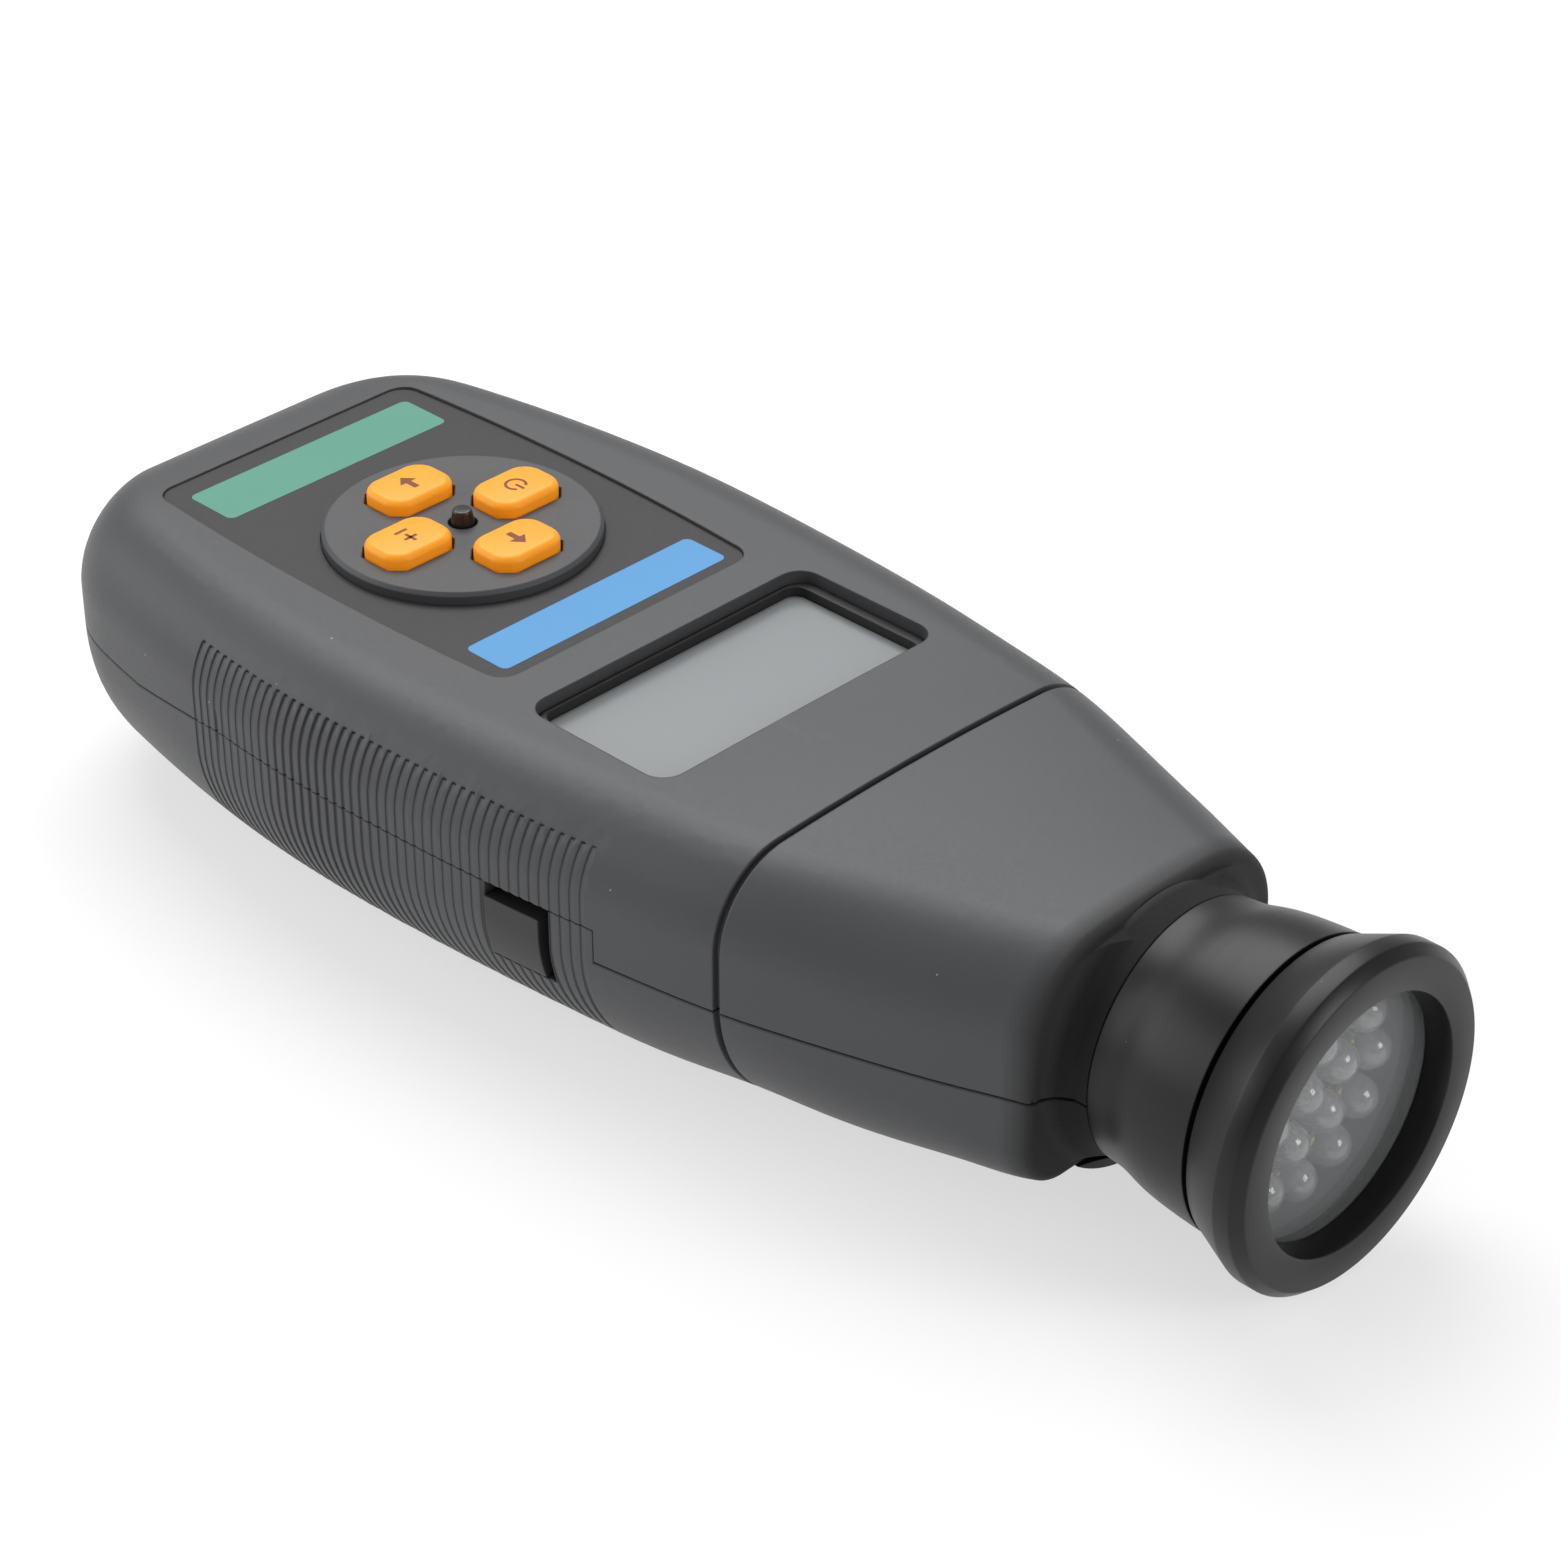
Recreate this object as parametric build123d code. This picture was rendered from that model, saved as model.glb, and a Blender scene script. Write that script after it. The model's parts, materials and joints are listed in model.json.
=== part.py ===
"""Hand-held stroboscope tachometer with a round lamp head.

Frame: +X runs from the handle to the lamp, +Z rises out of the display face,
and the -Y flank carries the side key. The origin is the middle of the
footprint on the surface that the flat back lies on. Millimetres.

Stations along the case are distances from its rear end, and heights are
measured from the lamp's axis unless a name says otherwise.
"""
from build123d import *
import math
import os

# Overall sizes
total_length = 184.6
lamp_axis_height = 20.4
case_half_width = 37.0
widest_at = 53.0
top_height = 16.1
wall = 2.0

# Rear end of the case
rear_turn = 20.0
rear_half_width = 28.5
rear_roundness = 3.0
rear_cap = 0.15
belt_height = 2.0
back_allowance = 0.08

# Joint between case and nose, and the nose's front rim
groove_at = 121.2
groove_half_width = 30.95
groove_top = 16.6
groove_crown = 1.3
crown_from = 98.0
flat_crown = 0.05
floor_turn = 112.0
rim_at = 156.4
rim_half_width = 19.6
rim_top = 15.85
rim_floor = 14.4
nose_bulge = 0.6
rim_edge = 1.2
cap_from = 155.0
cap_inset = 1.4
collar_from = 158.9
collar_at = 160.6
collar_radius = 15.7
front_rim_radius = 18.4
front_bend = (157.3, 16.85)
groove_width = 0.9
groove_depth = 0.8
butt_gap = 0.16
tongue_back = 3.2
tongue_front = 2.4
tongue_wall = 1.2
tongue_gap = 0.15

# Corner radii of the sections
shoulder_radius = 10.5
back_radius = 19.0
rim_shoulder_radius = 12.5
rim_back_radius = 6.5

# Parting line between the shells
parting_rear = 0.1
parting_ribs = 2.45
parting_front = -1.85
parting_ramp_from = 26.0
parting_ramp_to = 44.0
parting_gap = 0.16
lip = 0.8
lip_height = 1.2
fit_gap = 0.1

# Grip ribs
ribs_from = 38.6
ribs_to = 104.4
ribs_top = 12.4
ribs_bottom = -14.6
rib_pitch = 1.45
rib_gap = 0.62
rib_depth = 0.45

# Face label and the raised round pad
label_from = 13.8
label_to = 76.2
label_half_width = 20.0
label_bow = 1.3
label_corner = 2.7
label_top = 15.72
label_thickness = 0.4
label_clearance = 0.12
pad_at = 47.4
pad_radius = 17.0
pad_top = 17.2
pad_edge = 0.45
pad_gap = 0.15

# Keys on the pad
key_length = 7.6
key_width = 10.2
key_corner = 1.7
key_top = 18.9
key_edge = 0.55
key_offset_x = 9.6
key_offset_y = 8.7
key_clearance = 0.22
key_flange = 0.7
key_flange_thickness = 1.0
key_play = 0.1
key_foot_radius = 1.6
stem_base_radius = 1.5
stem_top_radius = 1.15
stem_top = 19.0
stem_clearance = 0.3
stem_edge = 0.25

# Tact switches under the keys
switch_size = 6.0
switch_height = 3.4
plunger_radius = 1.7
plunger_clearance = 0.15
plunger_proud = 1.1
plunger_grip = 0.9
plunger_room = 0.55

# Display window
window_at = 93.35
window_length = 22.3
window_width = 44.4
window_corner = 3.0
frame_gap = 0.35
frame_rim_length = 0.4
frame_rim_width = 1.25
frame_top = 14.55
frame_bottom = 11.3
frame_flange = 1.8
frame_flange_low = 12.6
frame_flange_high = 13.8
lens_top = 13.3
lens_thickness = 1.2
lens_clearance = 0.1
lens_seat = 1.0
lcd_length = 20.0
lcd_width = 42.0
seat_gap = 0.05

# Main board
board_thickness = 1.6
board_top = 7.6
board_from = 21.0
board_to = 106.0
board_half_width = 27.5
board_corner = 6.0
board_boss_radius = 2.4
board_screw_stations = (27.5, 77.4)
board_screw_y = 22.0
board_screw_grip = 4.0

# Screws and bosses
screw_radius = 1.25
screw_clearance = 0.15
screw_head_radius = 2.3
screw_head_clearance = 0.3
screw_head_height = 1.6
screw_seat = -13.0
screw_slot = 0.6
screw_grip = 6.0
screw_hole_spare = 1.0
boss_radius = 3.4
boss_meet = -2.4
case_screw_places = ((15.5, 17.5), (113.0, 23.0))
nose_screw_place = (135.0, 19.0)

# Battery bay, cells and cover
cell_count = 4
cell_radius = 7.25
cell_length = 50.5
cell_gap = 0.2
cell_nub_radius = 2.75
cell_nub = 1.0
cells_from = 28.0
cell_axis = -8.0
cell_headroom = 0.3
cell_clearance = 0.25
contact_room = 2.6
bay_half_width = 30.25
bay_wall = 1.5
bay_side_wall = 1.15
contact_thickness = 0.4
contact_width = 9.0
contact_boss_radius = 2.5
spring_wire = 0.5
spring_radius = 3.6
spring_turns = 2.5
spring_steps = 8
cover_gap = 0.25
cover_ledge = 1.6
cover_ledge_thickness = 1.5
cover_ledge_half_width = 14.5
cover_rib_inset = 12.0
cover_rib_thickness = 1.2
cover_rib_half_width = 12.0
cover_grip_length = 3.0
cover_grip_width = 16.0
cover_grip_depth = 0.7

# Side key in the lower shell
side_from = 89.0
side_to = 98.7
side_low = -7.9
side_key_from = 89.25
side_key_to = 97.1
side_key_low = -7.65
side_key_high = 0.5
side_cut_reach = 6.5
side_flange_y = 30.9
side_flange_thickness = 1.0
side_flange_from = 88.0
side_flange_to = 98.3
side_flange_low = -8.8
side_flange_high = 2.0
side_plunger_proud = 1.5
side_plunger_room = 0.95
side_board_from = 85.0
side_board_to = 101.5
side_board_low = -12.0
side_rest_from = 87.0
side_rest_to = 99.5
side_rest_wall = 1.4

# Lamp head
lamp_neck_at = 160.75
lamp_neck_radius = 15.75
lamp_bell = ((163.6, 16.05), (167.2, 16.95), (171.0, 17.45))
lamp_end_at = 175.2
lamp_end_radius = 17.75
lamp_spigot_radius = 16.7
lamp_spigot_end = 178.5
lamp_bore_radius = 15.4
lamp_back_bore_radius = 12.0
lamp_back_bore_from = 163.5
lamp_tail_radius = 11.4
lamp_tail_flange_radius = 12.6
lamp_tail_from = 150.5
lamp_tail_flange_to = 152.3
lamp_wire_radius = 4.0
nose_wall_from = 152.4
bezel_from = 175.9
bezel_rear_radius = 17.9
bezel_full_from = 181.3
bezel_radius = 20.25
bezel_chamfer_from = 183.4
bezel_front_radius = 19.15
bezel_mouth_radius = 15.3
bezel_lip_radius = 14.8
bezel_thread_gap = 0.12
glass_front_at = 181.3
glass_thickness = 1.8
glass_edge_gap = 0.15
gasket_width = 1.25
gasket_gap = 0.1
tube_wall = 0.8
tube_gap = 0.1

# Lamps on their round board
led_board_from = 168.9
led_board_thickness = 1.6
led_radius = 2.5
led_length = 8.6
led_ring_radius = 11.4
led_ring_count = 12
led_inner_radius = 5.85
led_inner_count = 6
led_inner_turn = 12.0

# Other electronics
chip_at = 72.0
chip_size = 10.0
chip_height = 1.6
capacitor_at = 98.0
capacitor_ys = (4.0, 15.5)
capacitor_radius = 5.0
capacitor_height = 12.5
lead_radius = 1.1
lead_bend = ((112.0, 6.8), (132.0, 0.0))
lead_bend_radius = 12.0


def x_at(station):
    """The row's X of a distance from the case's rear end."""
    return station - total_length / 2


def z_at(height):
    """The row's Z of a height above the lamp's axis."""
    return height + lamp_axis_height


def block(from_station, to_station, y_low, y_high, low, high):
    """A box between stations, sides and heights."""
    size = (to_station - from_station, y_high - y_low, high - low)
    middle = ((from_station + to_station) / 2, (y_low + y_high) / 2, (low + high) / 2)
    return Pos(x_at(middle[0]), middle[1], z_at(middle[2])) * Box(*size)


def post(station, y, low, high, radius):
    """An upright cylinder."""
    return Pos(x_at(station), y, z_at((low + high) / 2)) * Cylinder(radius, high - low)


def disc(from_station, to_station, radius):
    """A cylinder on the lamp's axis."""
    middle = Pos(x_at((from_station + to_station) / 2), 0, z_at(0))
    return middle * Rot(0, 90, 0) * Cylinder(radius, to_station - from_station)


# The case's form, as sections across X


def smooth(a, b, u):
    u = min(max(u, 0.0), 1.0)
    return a + (b - a) * u * u * (3 - 2 * u)


def rear_factor(station):
    """How far the rear end has closed in, as a superellipse with a flat tip."""
    if station >= rear_turn:
        return 1.0
    u = (rear_turn - station) / (rear_turn + rear_cap)
    return (1 - u ** rear_roundness) ** (1 / rear_roundness)


def half_width(station):
    if station <= widest_at:
        u = (widest_at - station) / widest_at
        width = case_half_width - (case_half_width - rear_half_width) * u ** 1.6
    elif station <= groove_at:
        u = (station - widest_at) / (groove_at - widest_at)
        width = case_half_width - (case_half_width - groove_half_width) * u ** 2.25
    else:
        u = (station - groove_at) / (rim_at - groove_at)
        width = groove_half_width + (rim_half_width - groove_half_width) * u
        width += nose_bulge * 4 * u * (1 - u)
    return width * rear_factor(station)


def top_at(station):
    u = (station - crown_from) / (groove_at - crown_from)
    height = smooth(top_height, groove_top, u)
    if station > groove_at:
        height = smooth(groove_top, rim_top, (station - groove_at) / (rim_at - groove_at))
    return belt_height + (height - belt_height) * rear_factor(station)


def floor_at(station):
    u = max(0.0, (station - floor_turn) / (rim_at - floor_turn))
    height = -lamp_axis_height + (lamp_axis_height - rim_floor) * u ** 1.5
    return belt_height + (height - belt_height) * rear_factor(station)


def outline(station, width, top, crown, low, upper_radius, lower_radius):
    """A rounded section across X: crowned top, flat floor, four round corners."""
    side = top - crown
    upper_radius = min(upper_radius, 0.9 * (side - belt_height), 0.8 * width)
    lower_radius = min(lower_radius, 0.9 * (belt_height - low), 0.8 * width)
    sides = Polyline((width, side), (width, low), (-width, low), (-width, side))
    face = make_face([*sides.edges(), ThreePointArc((-width, side), (0, top), (width, side))])
    upper = [v for v in face.vertices() if v.Y > belt_height]
    face = fillet(upper, upper_radius)
    lower = [v for v in face.vertices() if v.Y < low + 0.01]
    face = fillet(lower, lower_radius)
    plane = Plane(origin=(x_at(station), 0, z_at(0)), x_dir=(0, 1, 0), z_dir=(1, 0, 0))
    return (plane * face).faces()[0]


def section(station, inset=0.0):
    """The case's or nose's section, drawn in by an inset."""
    u = min(max((station - groove_at) / (rim_at - groove_at), 0.0), 1.0)
    crown = smooth(flat_crown, groove_crown, (station - crown_from) / (groove_at - crown_from))
    upper = shoulder_radius + (rim_shoulder_radius - shoulder_radius) * u
    lower = back_radius + (rim_back_radius - back_radius) * u
    low = floor_at(station) + (inset if inset > 0 else -back_allowance)
    return outline(
        station,
        half_width(station) - inset,
        top_at(station) - inset,
        crown,
        low,
        upper - inset,
        lower - inset,
    )


rear_stations = [0.0, 0.65, 2.2, 4.5, 8.0, 13.0, rear_turn]
case_stations = [35.0, widest_at, 75.0, crown_from, 110.0, groove_at]
nose_stations = [130.0, 139.0, 148.0, rim_at]
everywhere = 2 * total_length


def form(inset=0.0):
    """The whole outer form up to the nose's rim, or that form drawn in by an inset.

    The outside is one smooth skin. The inner forms run straight from section to
    section, as a moulder's core may, which keeps their faces few.
    """
    if inset > 0:
        room = inset * 6 + 4
        stations = [s for s in rear_stations if rear_factor(s) * rear_half_width > room]
        return loft([section(s, inset) for s in stations + case_stations + nose_stations], ruled=True)
    solid = loft([section(s) for s in rear_stations + case_stations + nose_stations])
    return solid & block(-everywhere, everywhere, -everywhere, everywhere, -lamp_axis_height, everywhere)


def between(from_station, to_station):
    """All space between two stations."""
    return block(from_station, to_station, -everywhere, everywhere, -everywhere, everywhere)


def below_parting(offset):
    """Everything under the parting line, moved up and forward by an offset."""
    step_at = ribs_to + 0.5 + offset
    points = [
        (x_at(-everywhere), z_at(parting_rear + offset)),
        (x_at(parting_ramp_from), z_at(parting_rear + offset)),
        (x_at(parting_ramp_to), z_at(parting_ribs + offset)),
        (x_at(step_at), z_at(parting_ribs + offset)),
        (x_at(step_at), z_at(parting_front + offset)),
        (x_at(everywhere), z_at(parting_front + offset)),
        (x_at(everywhere), -everywhere),
        (x_at(-everywhere), -everywhere),
    ]
    profile = make_face(Polyline(*points, close=True))
    return extrude(Plane.XZ * profile, everywhere, both=True)


def prism(from_station, to_station, inset):
    """The section at a station, drawn in by an inset and pushed forward to another."""
    return extrude(section(from_station, inset), to_station - from_station, dir=(1, 0, 0))


def ring(at_station, from_station, to_station, outer_inset, inner_inset):
    """A straight band that follows one station's section."""
    length = to_station - from_station
    move = Pos(from_station - at_station, 0, 0)
    band = extrude(section(at_station, outer_inset), length, dir=(1, 0, 0))
    band -= extrude(section(at_station, inner_inset), length, dir=(1, 0, 0))
    return move * band


def turned(*points):
    """A ring or cup turned round the lamp's axis from (station, radius) points."""
    outline_points = [(x_at(s), z_at(r)) for s, r in points]
    face = Plane.XZ * make_face(Polyline(*outline_points, close=True))
    return revolve(face, Axis((0, 0, z_at(0)), (1, 0, 0)))


def ribbed(shell):
    """A shell with the grip grooves cut in both flanks."""
    half = shell & block(-everywhere, everywhere, -everywhere, 0, -everywhere, everywhere)
    grooves = []
    for i in range(int((ribs_to - ribs_from) / rib_pitch)):
        start = ribs_from + (i + 0.5) * rib_pitch
        slot = block(start, start + rib_gap, -2 * case_half_width, 0, ribs_bottom, ribs_top)
        grooves.append(slot - prism(start, start + rib_gap, rib_depth))
    half -= Compound(children=grooves)
    return half + mirror(half, about=Plane.XZ)


def groove_ring():
    """The shallow groove that runs round the joint of case and nose."""
    start = groove_at - groove_width / 2
    return ring(groove_at, start, start + groove_width, -2.0, groove_depth)


def screw_posts(places, low, high, radius):
    """Posts at the screws' places, on both sides."""
    posts = [post(s, side * y, low, high, radius) for s, y in places for side in (-1, 1)]
    return Compound(children=posts)


def lower_screw_holes(places):
    """Clearance holes and deep head recesses from below."""
    shank = screw_posts(places, -everywhere, boss_meet, screw_radius + screw_clearance)
    head = screw_posts(places, -everywhere, screw_seat, screw_head_radius + screw_head_clearance)
    return shank + head


def upper_screw_holes(places):
    """Pilot holes that the screws bite in."""
    return screw_posts(places, boss_meet - 1, boss_meet + screw_grip + screw_hole_spare, screw_radius)


# Plan shapes on the face


def plan(face, station, low, high):
    """A plan outline, drawn about a station, raised between two heights."""
    return Pos(x_at(station), 0, z_at(low)) * extrude(face, high - low)


def label_plan(extra):
    """The label's outline: bowed long sides and rounded corners."""
    rear = label_from - pad_at - extra
    front = label_to - pad_at + extra
    middle = (rear + front) / 2
    side = label_half_width + extra
    lines = [
        Line((rear, -side), (rear, side)),
        ThreePointArc((rear, side), (middle, side + label_bow), (front, side)),
        Line((front, side), (front, -side)),
        ThreePointArc((front, -side), (middle, -side - label_bow), (rear, -side)),
    ]
    face = make_face(lines)
    return fillet(face.vertices(), label_corner + extra)


def key_plan(extra):
    """A key's outline: a rectangle with its corners cut off."""
    face = Rectangle(key_length + 2 * extra, key_width + 2 * extra)
    return chamfer(face.vertices(), key_corner)


def window_plan(inset_length, inset_width):
    """The display window's outline, drawn in lengthwise and widthwise."""
    corner = max(0.6, window_corner - (inset_length + inset_width) / 2)
    return RectangleRounded(window_length - 2 * inset_length, window_width - 2 * inset_width, corner)


key_places = {
    "up": (pad_at + key_offset_x, 0.0),
    "down": (pad_at - key_offset_x, 0.0),
    "power": (pad_at, key_offset_y),
    "fine": (pad_at, -key_offset_y),
}
switch_places = {**key_places, "centre": (pad_at, 0.0)}
switch_top = board_top + switch_height
plunger_top = switch_top + plunger_proud
inner_face = top_height - wall
flange_top = inner_face - key_play


# Housing shells


def upper_case(case, hollow):
    solid = case - below_parting(parting_gap / 2)
    solid -= form(wall - lip - fit_gap) & below_parting(lip_height + fit_gap)
    solid -= hollow
    solid = ribbed(solid)
    pad = post(pad_at, 0, label_top - 1, pad_top, pad_radius)
    pad = chamfer(pad.edges().group_by(Axis.Z)[-1], pad_edge)
    inside = screw_posts(case_screw_places, boss_meet + seat_gap, top_height, boss_radius)
    board_places = [(s, board_screw_y) for s in board_screw_stations]
    inside += screw_posts(board_places, board_top, top_height, board_boss_radius)
    solid += inside & form(1.0)
    recess = plan(label_plan(label_clearance), pad_at, label_top - label_thickness, top_height + 1)
    solid -= recess
    solid += pad
    solid -= upper_screw_holes(case_screw_places)
    solid -= screw_posts(board_places, board_top - 1, board_top + board_screw_grip + 0.5, screw_radius)
    for s, y in key_places.values():
        solid -= Pos(0, y, 0) * plan(key_plan(key_clearance), s, inner_face - 1, pad_top + 1)
    solid -= post(pad_at, 0, inner_face - 1, pad_top + 1, stem_base_radius + stem_clearance)
    solid -= plan(window_plan(0, 0), window_at, inner_face - 1, top_height + 2)
    return solid - groove_ring()


def bay(extra_end, extra_side, low, high):
    """The battery bay's box, grown at its ends and sides."""
    start = cells_from - contact_room - extra_end
    end = cells_from + cell_length + contact_room + extra_end
    half = bay_half_width + extra_side
    return block(start, end, -half, half, low, high)


bay_ceiling = cell_axis + cell_radius + cell_headroom
back_inner = -lamp_axis_height + wall


def lower_case(case, hollow):
    solid = case & below_parting(-parting_gap / 2)
    solid += form(wall - lip) & below_parting(lip_height) & between(-1, groove_at - tongue_back - 1)
    solid -= hollow
    solid = ribbed(solid)
    inside = bay(bay_wall, bay_side_wall, -lamp_axis_height, bay_ceiling + bay_wall)
    inside += screw_posts(case_screw_places, -lamp_axis_height, boss_meet - seat_gap, boss_radius)
    rest_y = side_switch_back - side_rest_wall
    rest_end = side_switch_back + board_thickness + side_rest_wall
    rest_high = side_board_low - seat_gap
    inside += block(side_rest_from, side_rest_to, rest_y, rest_end, -lamp_axis_height, rest_high)
    solid += inside & form(1.0)
    solid -= bay(0, 0, -lamp_axis_height - 1, bay_ceiling)
    ledge_low = back_inner + seat_gap
    for s in (cells_from - contact_room, cells_from + cell_length + contact_room - cover_ledge):
        half = cover_ledge_half_width
        solid += block(s, s + cover_ledge, -half, half, ledge_low, ledge_low + cover_ledge_thickness)
    solid -= lower_screw_holes(case_screw_places)
    cut_y = -case_half_width - 1
    cut_high = parting_ribs + lip_height + 1
    solid -= block(side_from, side_to, cut_y, -case_half_width + side_cut_reach, side_low, cut_high)
    return solid - groove_ring()


def nose(hollow):
    """The nose as one piece with its front wall, before it is split."""
    solid = form()
    rim_edges = solid.edges().group_by(Axis.X)[-1]
    solid = fillet(rim_edges, rim_edge)
    solid = solid & between(groove_at + butt_gap / 2, total_length)
    rim = (x_at(rim_at - 0.05), z_at(front_rim_radius))
    collar = (x_at(collar_from), z_at(collar_radius))
    curve = ThreePointArc(rim, (x_at(front_bend[0]), z_at(front_bend[1])), collar)
    rest = Polyline(
        collar,
        (x_at(collar_at), z_at(collar_radius)),
        (x_at(collar_at), z_at(0)),
        (x_at(cap_from), z_at(0)),
        (x_at(cap_from), z_at(front_rim_radius)),
        rim,
    )
    cap = revolve(Plane.XZ * make_face([curve, *rest.edges()]), Axis((0, 0, z_at(0)), (1, 0, 0)))
    cap -= ring(rim_at, cap_from, collar_from, -20, cap_inset)
    cap += disc(rim_at, collar_at, collar_radius)
    solid += cap
    return solid - (hollow & between(-1, nose_wall_from))


def lamp_opening():
    """The hole in the nose's front wall for the lamp's tail."""
    return disc(lamp_tail_from, collar_at + 1, lamp_tail_radius + fit_gap)


def nose_tongue():
    """The band inside the nose's rear edge and the tongue that it sends into the case."""
    start = groove_at + butt_gap / 2
    inset = wall + tongue_gap
    band = ring(groove_at, start, start + tongue_front, inset - 1, inset + tongue_wall)
    return band + ring(groove_at, groove_at - tongue_back, start + 0.5, inset, inset + tongue_wall)


def nose_upper(whole, tongue):
    outside = below_parting(parting_gap / 2)
    inside = screw_posts([nose_screw_place], boss_meet + seat_gap, top_height + 1, boss_radius)
    solid = (whole - outside) - groove_ring() - lamp_opening()
    solid = solid + (tongue - outside) + (inside & form(1.0))
    return solid - upper_screw_holes([nose_screw_place])


def nose_lower(whole, tongue):
    inside = screw_posts([nose_screw_place], -lamp_axis_height, boss_meet - seat_gap, boss_radius)
    below = below_parting(-parting_gap / 2)
    solid = (whole & below) - groove_ring() - lamp_opening()
    solid = solid + (tongue & below) + (inside & form(1.0))
    return solid - lower_screw_holes([nose_screw_place])


# Face, keys and switches


def face_label():
    solid = plan(label_plan(0), pad_at, label_top - label_thickness, label_top)
    return solid - post(pad_at, 0, label_top - 1, label_top + 1, pad_radius + pad_gap)


def key():
    """A key on its foot, at the pad's centre."""
    low = flange_top - key_flange_thickness
    cap = plan(key_plan(0), pad_at, low, key_top)
    cap = chamfer(cap.edges().group_by(Axis.Z)[-1], key_edge)
    cap += plan(key_plan(key_flange), pad_at, low, flange_top)
    return cap + post(pad_at, 0, plunger_top, low + 0.5, key_foot_radius)


def centre_stem():
    low = flange_top - key_flange_thickness
    solid = post(pad_at, 0, low, pad_top, stem_base_radius)
    taper = Cone(stem_base_radius, stem_top_radius, stem_top - pad_top)
    taper = fillet(taper.edges().group_by(Axis.Z)[-1], stem_edge)
    solid += Pos(x_at(pad_at), 0, z_at((pad_top + stem_top) / 2)) * taper
    solid += post(pad_at, 0, low, flange_top, stem_base_radius + key_flange)
    return solid + post(pad_at, 0, plunger_top, low + 0.5, stem_base_radius)


def switch_body():
    """A tact switch at the pad's centre, with the bore of its plunger."""
    half = switch_size / 2
    body = block(pad_at - half, pad_at + half, -half, half, board_top, switch_top)
    bore_low = switch_top - plunger_grip - plunger_room
    return body - post(pad_at, 0, bore_low, switch_top + 1, plunger_radius + plunger_clearance)


def plunger():
    return post(pad_at, 0, switch_top - plunger_grip, plunger_top, plunger_radius)


# Boards and display


def main_board():
    length = board_to - board_from
    face = RectangleRounded(length, 2 * board_half_width, board_corner)
    board = plan(face, (board_from + board_to) / 2, board_top - board_thickness, board_top)
    places = [(s, board_screw_y) for s in board_screw_stations]
    return board - screw_posts(places, 0, board_top + 1, screw_radius + screw_clearance)


def display_frame():
    rim_length = frame_gap + frame_rim_length
    rim_width = frame_gap + frame_rim_width
    lens_low = lens_top - lens_thickness
    solid = plan(window_plan(frame_gap, frame_gap), window_at, frame_bottom, frame_top)
    solid += plan(window_plan(-frame_flange, -frame_flange), window_at, frame_flange_low, frame_flange_high)
    solid -= plan(window_plan(rim_length, rim_width), window_at, lens_low, frame_top + 1)
    seat = window_plan(rim_length + lens_seat, rim_width + lens_seat)
    return solid - plan(seat, window_at, frame_bottom - 1, frame_top)


def display_lens():
    inset_length = frame_gap + frame_rim_length + lens_clearance
    inset_width = frame_gap + frame_rim_width + lens_clearance
    return plan(window_plan(inset_length, inset_width), window_at, lens_top - lens_thickness, lens_top)


def lcd_module():
    half = lcd_length / 2
    return block(
        window_at - half, window_at + half, -lcd_width / 2, lcd_width / 2, board_top, frame_bottom - seat_gap
    )


def controller_chip():
    half = chip_size / 2
    return block(chip_at - half, chip_at + half, -half, half, board_top, board_top + chip_height)


def capacitors():
    high = board_top - board_thickness
    low = high - capacitor_height
    return Compound(children=[post(capacitor_at, y, low, high, capacitor_radius) for y in capacitor_ys])


def lamp_lead():
    """The lead from the main board's front edge to the lamp board's back."""
    points = [(board_to, board_top - board_thickness / 2), *lead_bend, (led_board_from, 0.0)]
    path = FilletPolyline(*[(x_at(s), 0, z_at(h)) for s, h in points], radius=lead_bend_radius)
    start = Plane(origin=path @ 0, z_dir=(1, 0, 0))
    return sweep(start * Circle(lead_radius), path=path)


# Side key


def along_y(station, from_y, to_y, height, radius):
    """A cylinder across the object."""
    middle = Pos(x_at(station), (from_y + to_y) / 2, z_at(height))
    return middle * Rot(90, 0, 0) * Cylinder(radius, to_y - from_y)


side_centre = (side_key_from + side_key_to) / 2
side_centre_height = (side_key_low + side_key_high) / 2
side_plunger_tip = -side_flange_y + side_flange_thickness
side_switch_face = side_plunger_tip + side_plunger_proud
side_switch_back = side_switch_face + switch_height


def side_key():
    cap = form() & block(
        side_key_from, side_key_to, -case_half_width - 1, -side_flange_y, side_key_low, side_key_high
    )
    flange = block(
        side_flange_from, side_flange_to, -side_flange_y, side_plunger_tip, side_flange_low, side_flange_high
    )
    return cap + flange


def side_switch():
    half = switch_size / 2
    body = block(
        side_centre - half,
        side_centre + half,
        side_switch_face,
        side_switch_back,
        side_centre_height - half,
        side_centre_height + half,
    )
    bore_end = side_switch_face + plunger_grip + side_plunger_room
    radius = plunger_radius + plunger_clearance
    return body - along_y(side_centre, side_switch_face - 1, bore_end, side_centre_height, radius)


def side_plunger():
    end = side_switch_face + plunger_grip
    return along_y(side_centre, side_plunger_tip, end, side_centre_height, plunger_radius)


def side_board():
    high = board_top - board_thickness - seat_gap
    back = side_switch_back + board_thickness
    return block(side_board_from, side_board_to, side_switch_back, back, side_board_low, high)


# Battery bay


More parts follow.
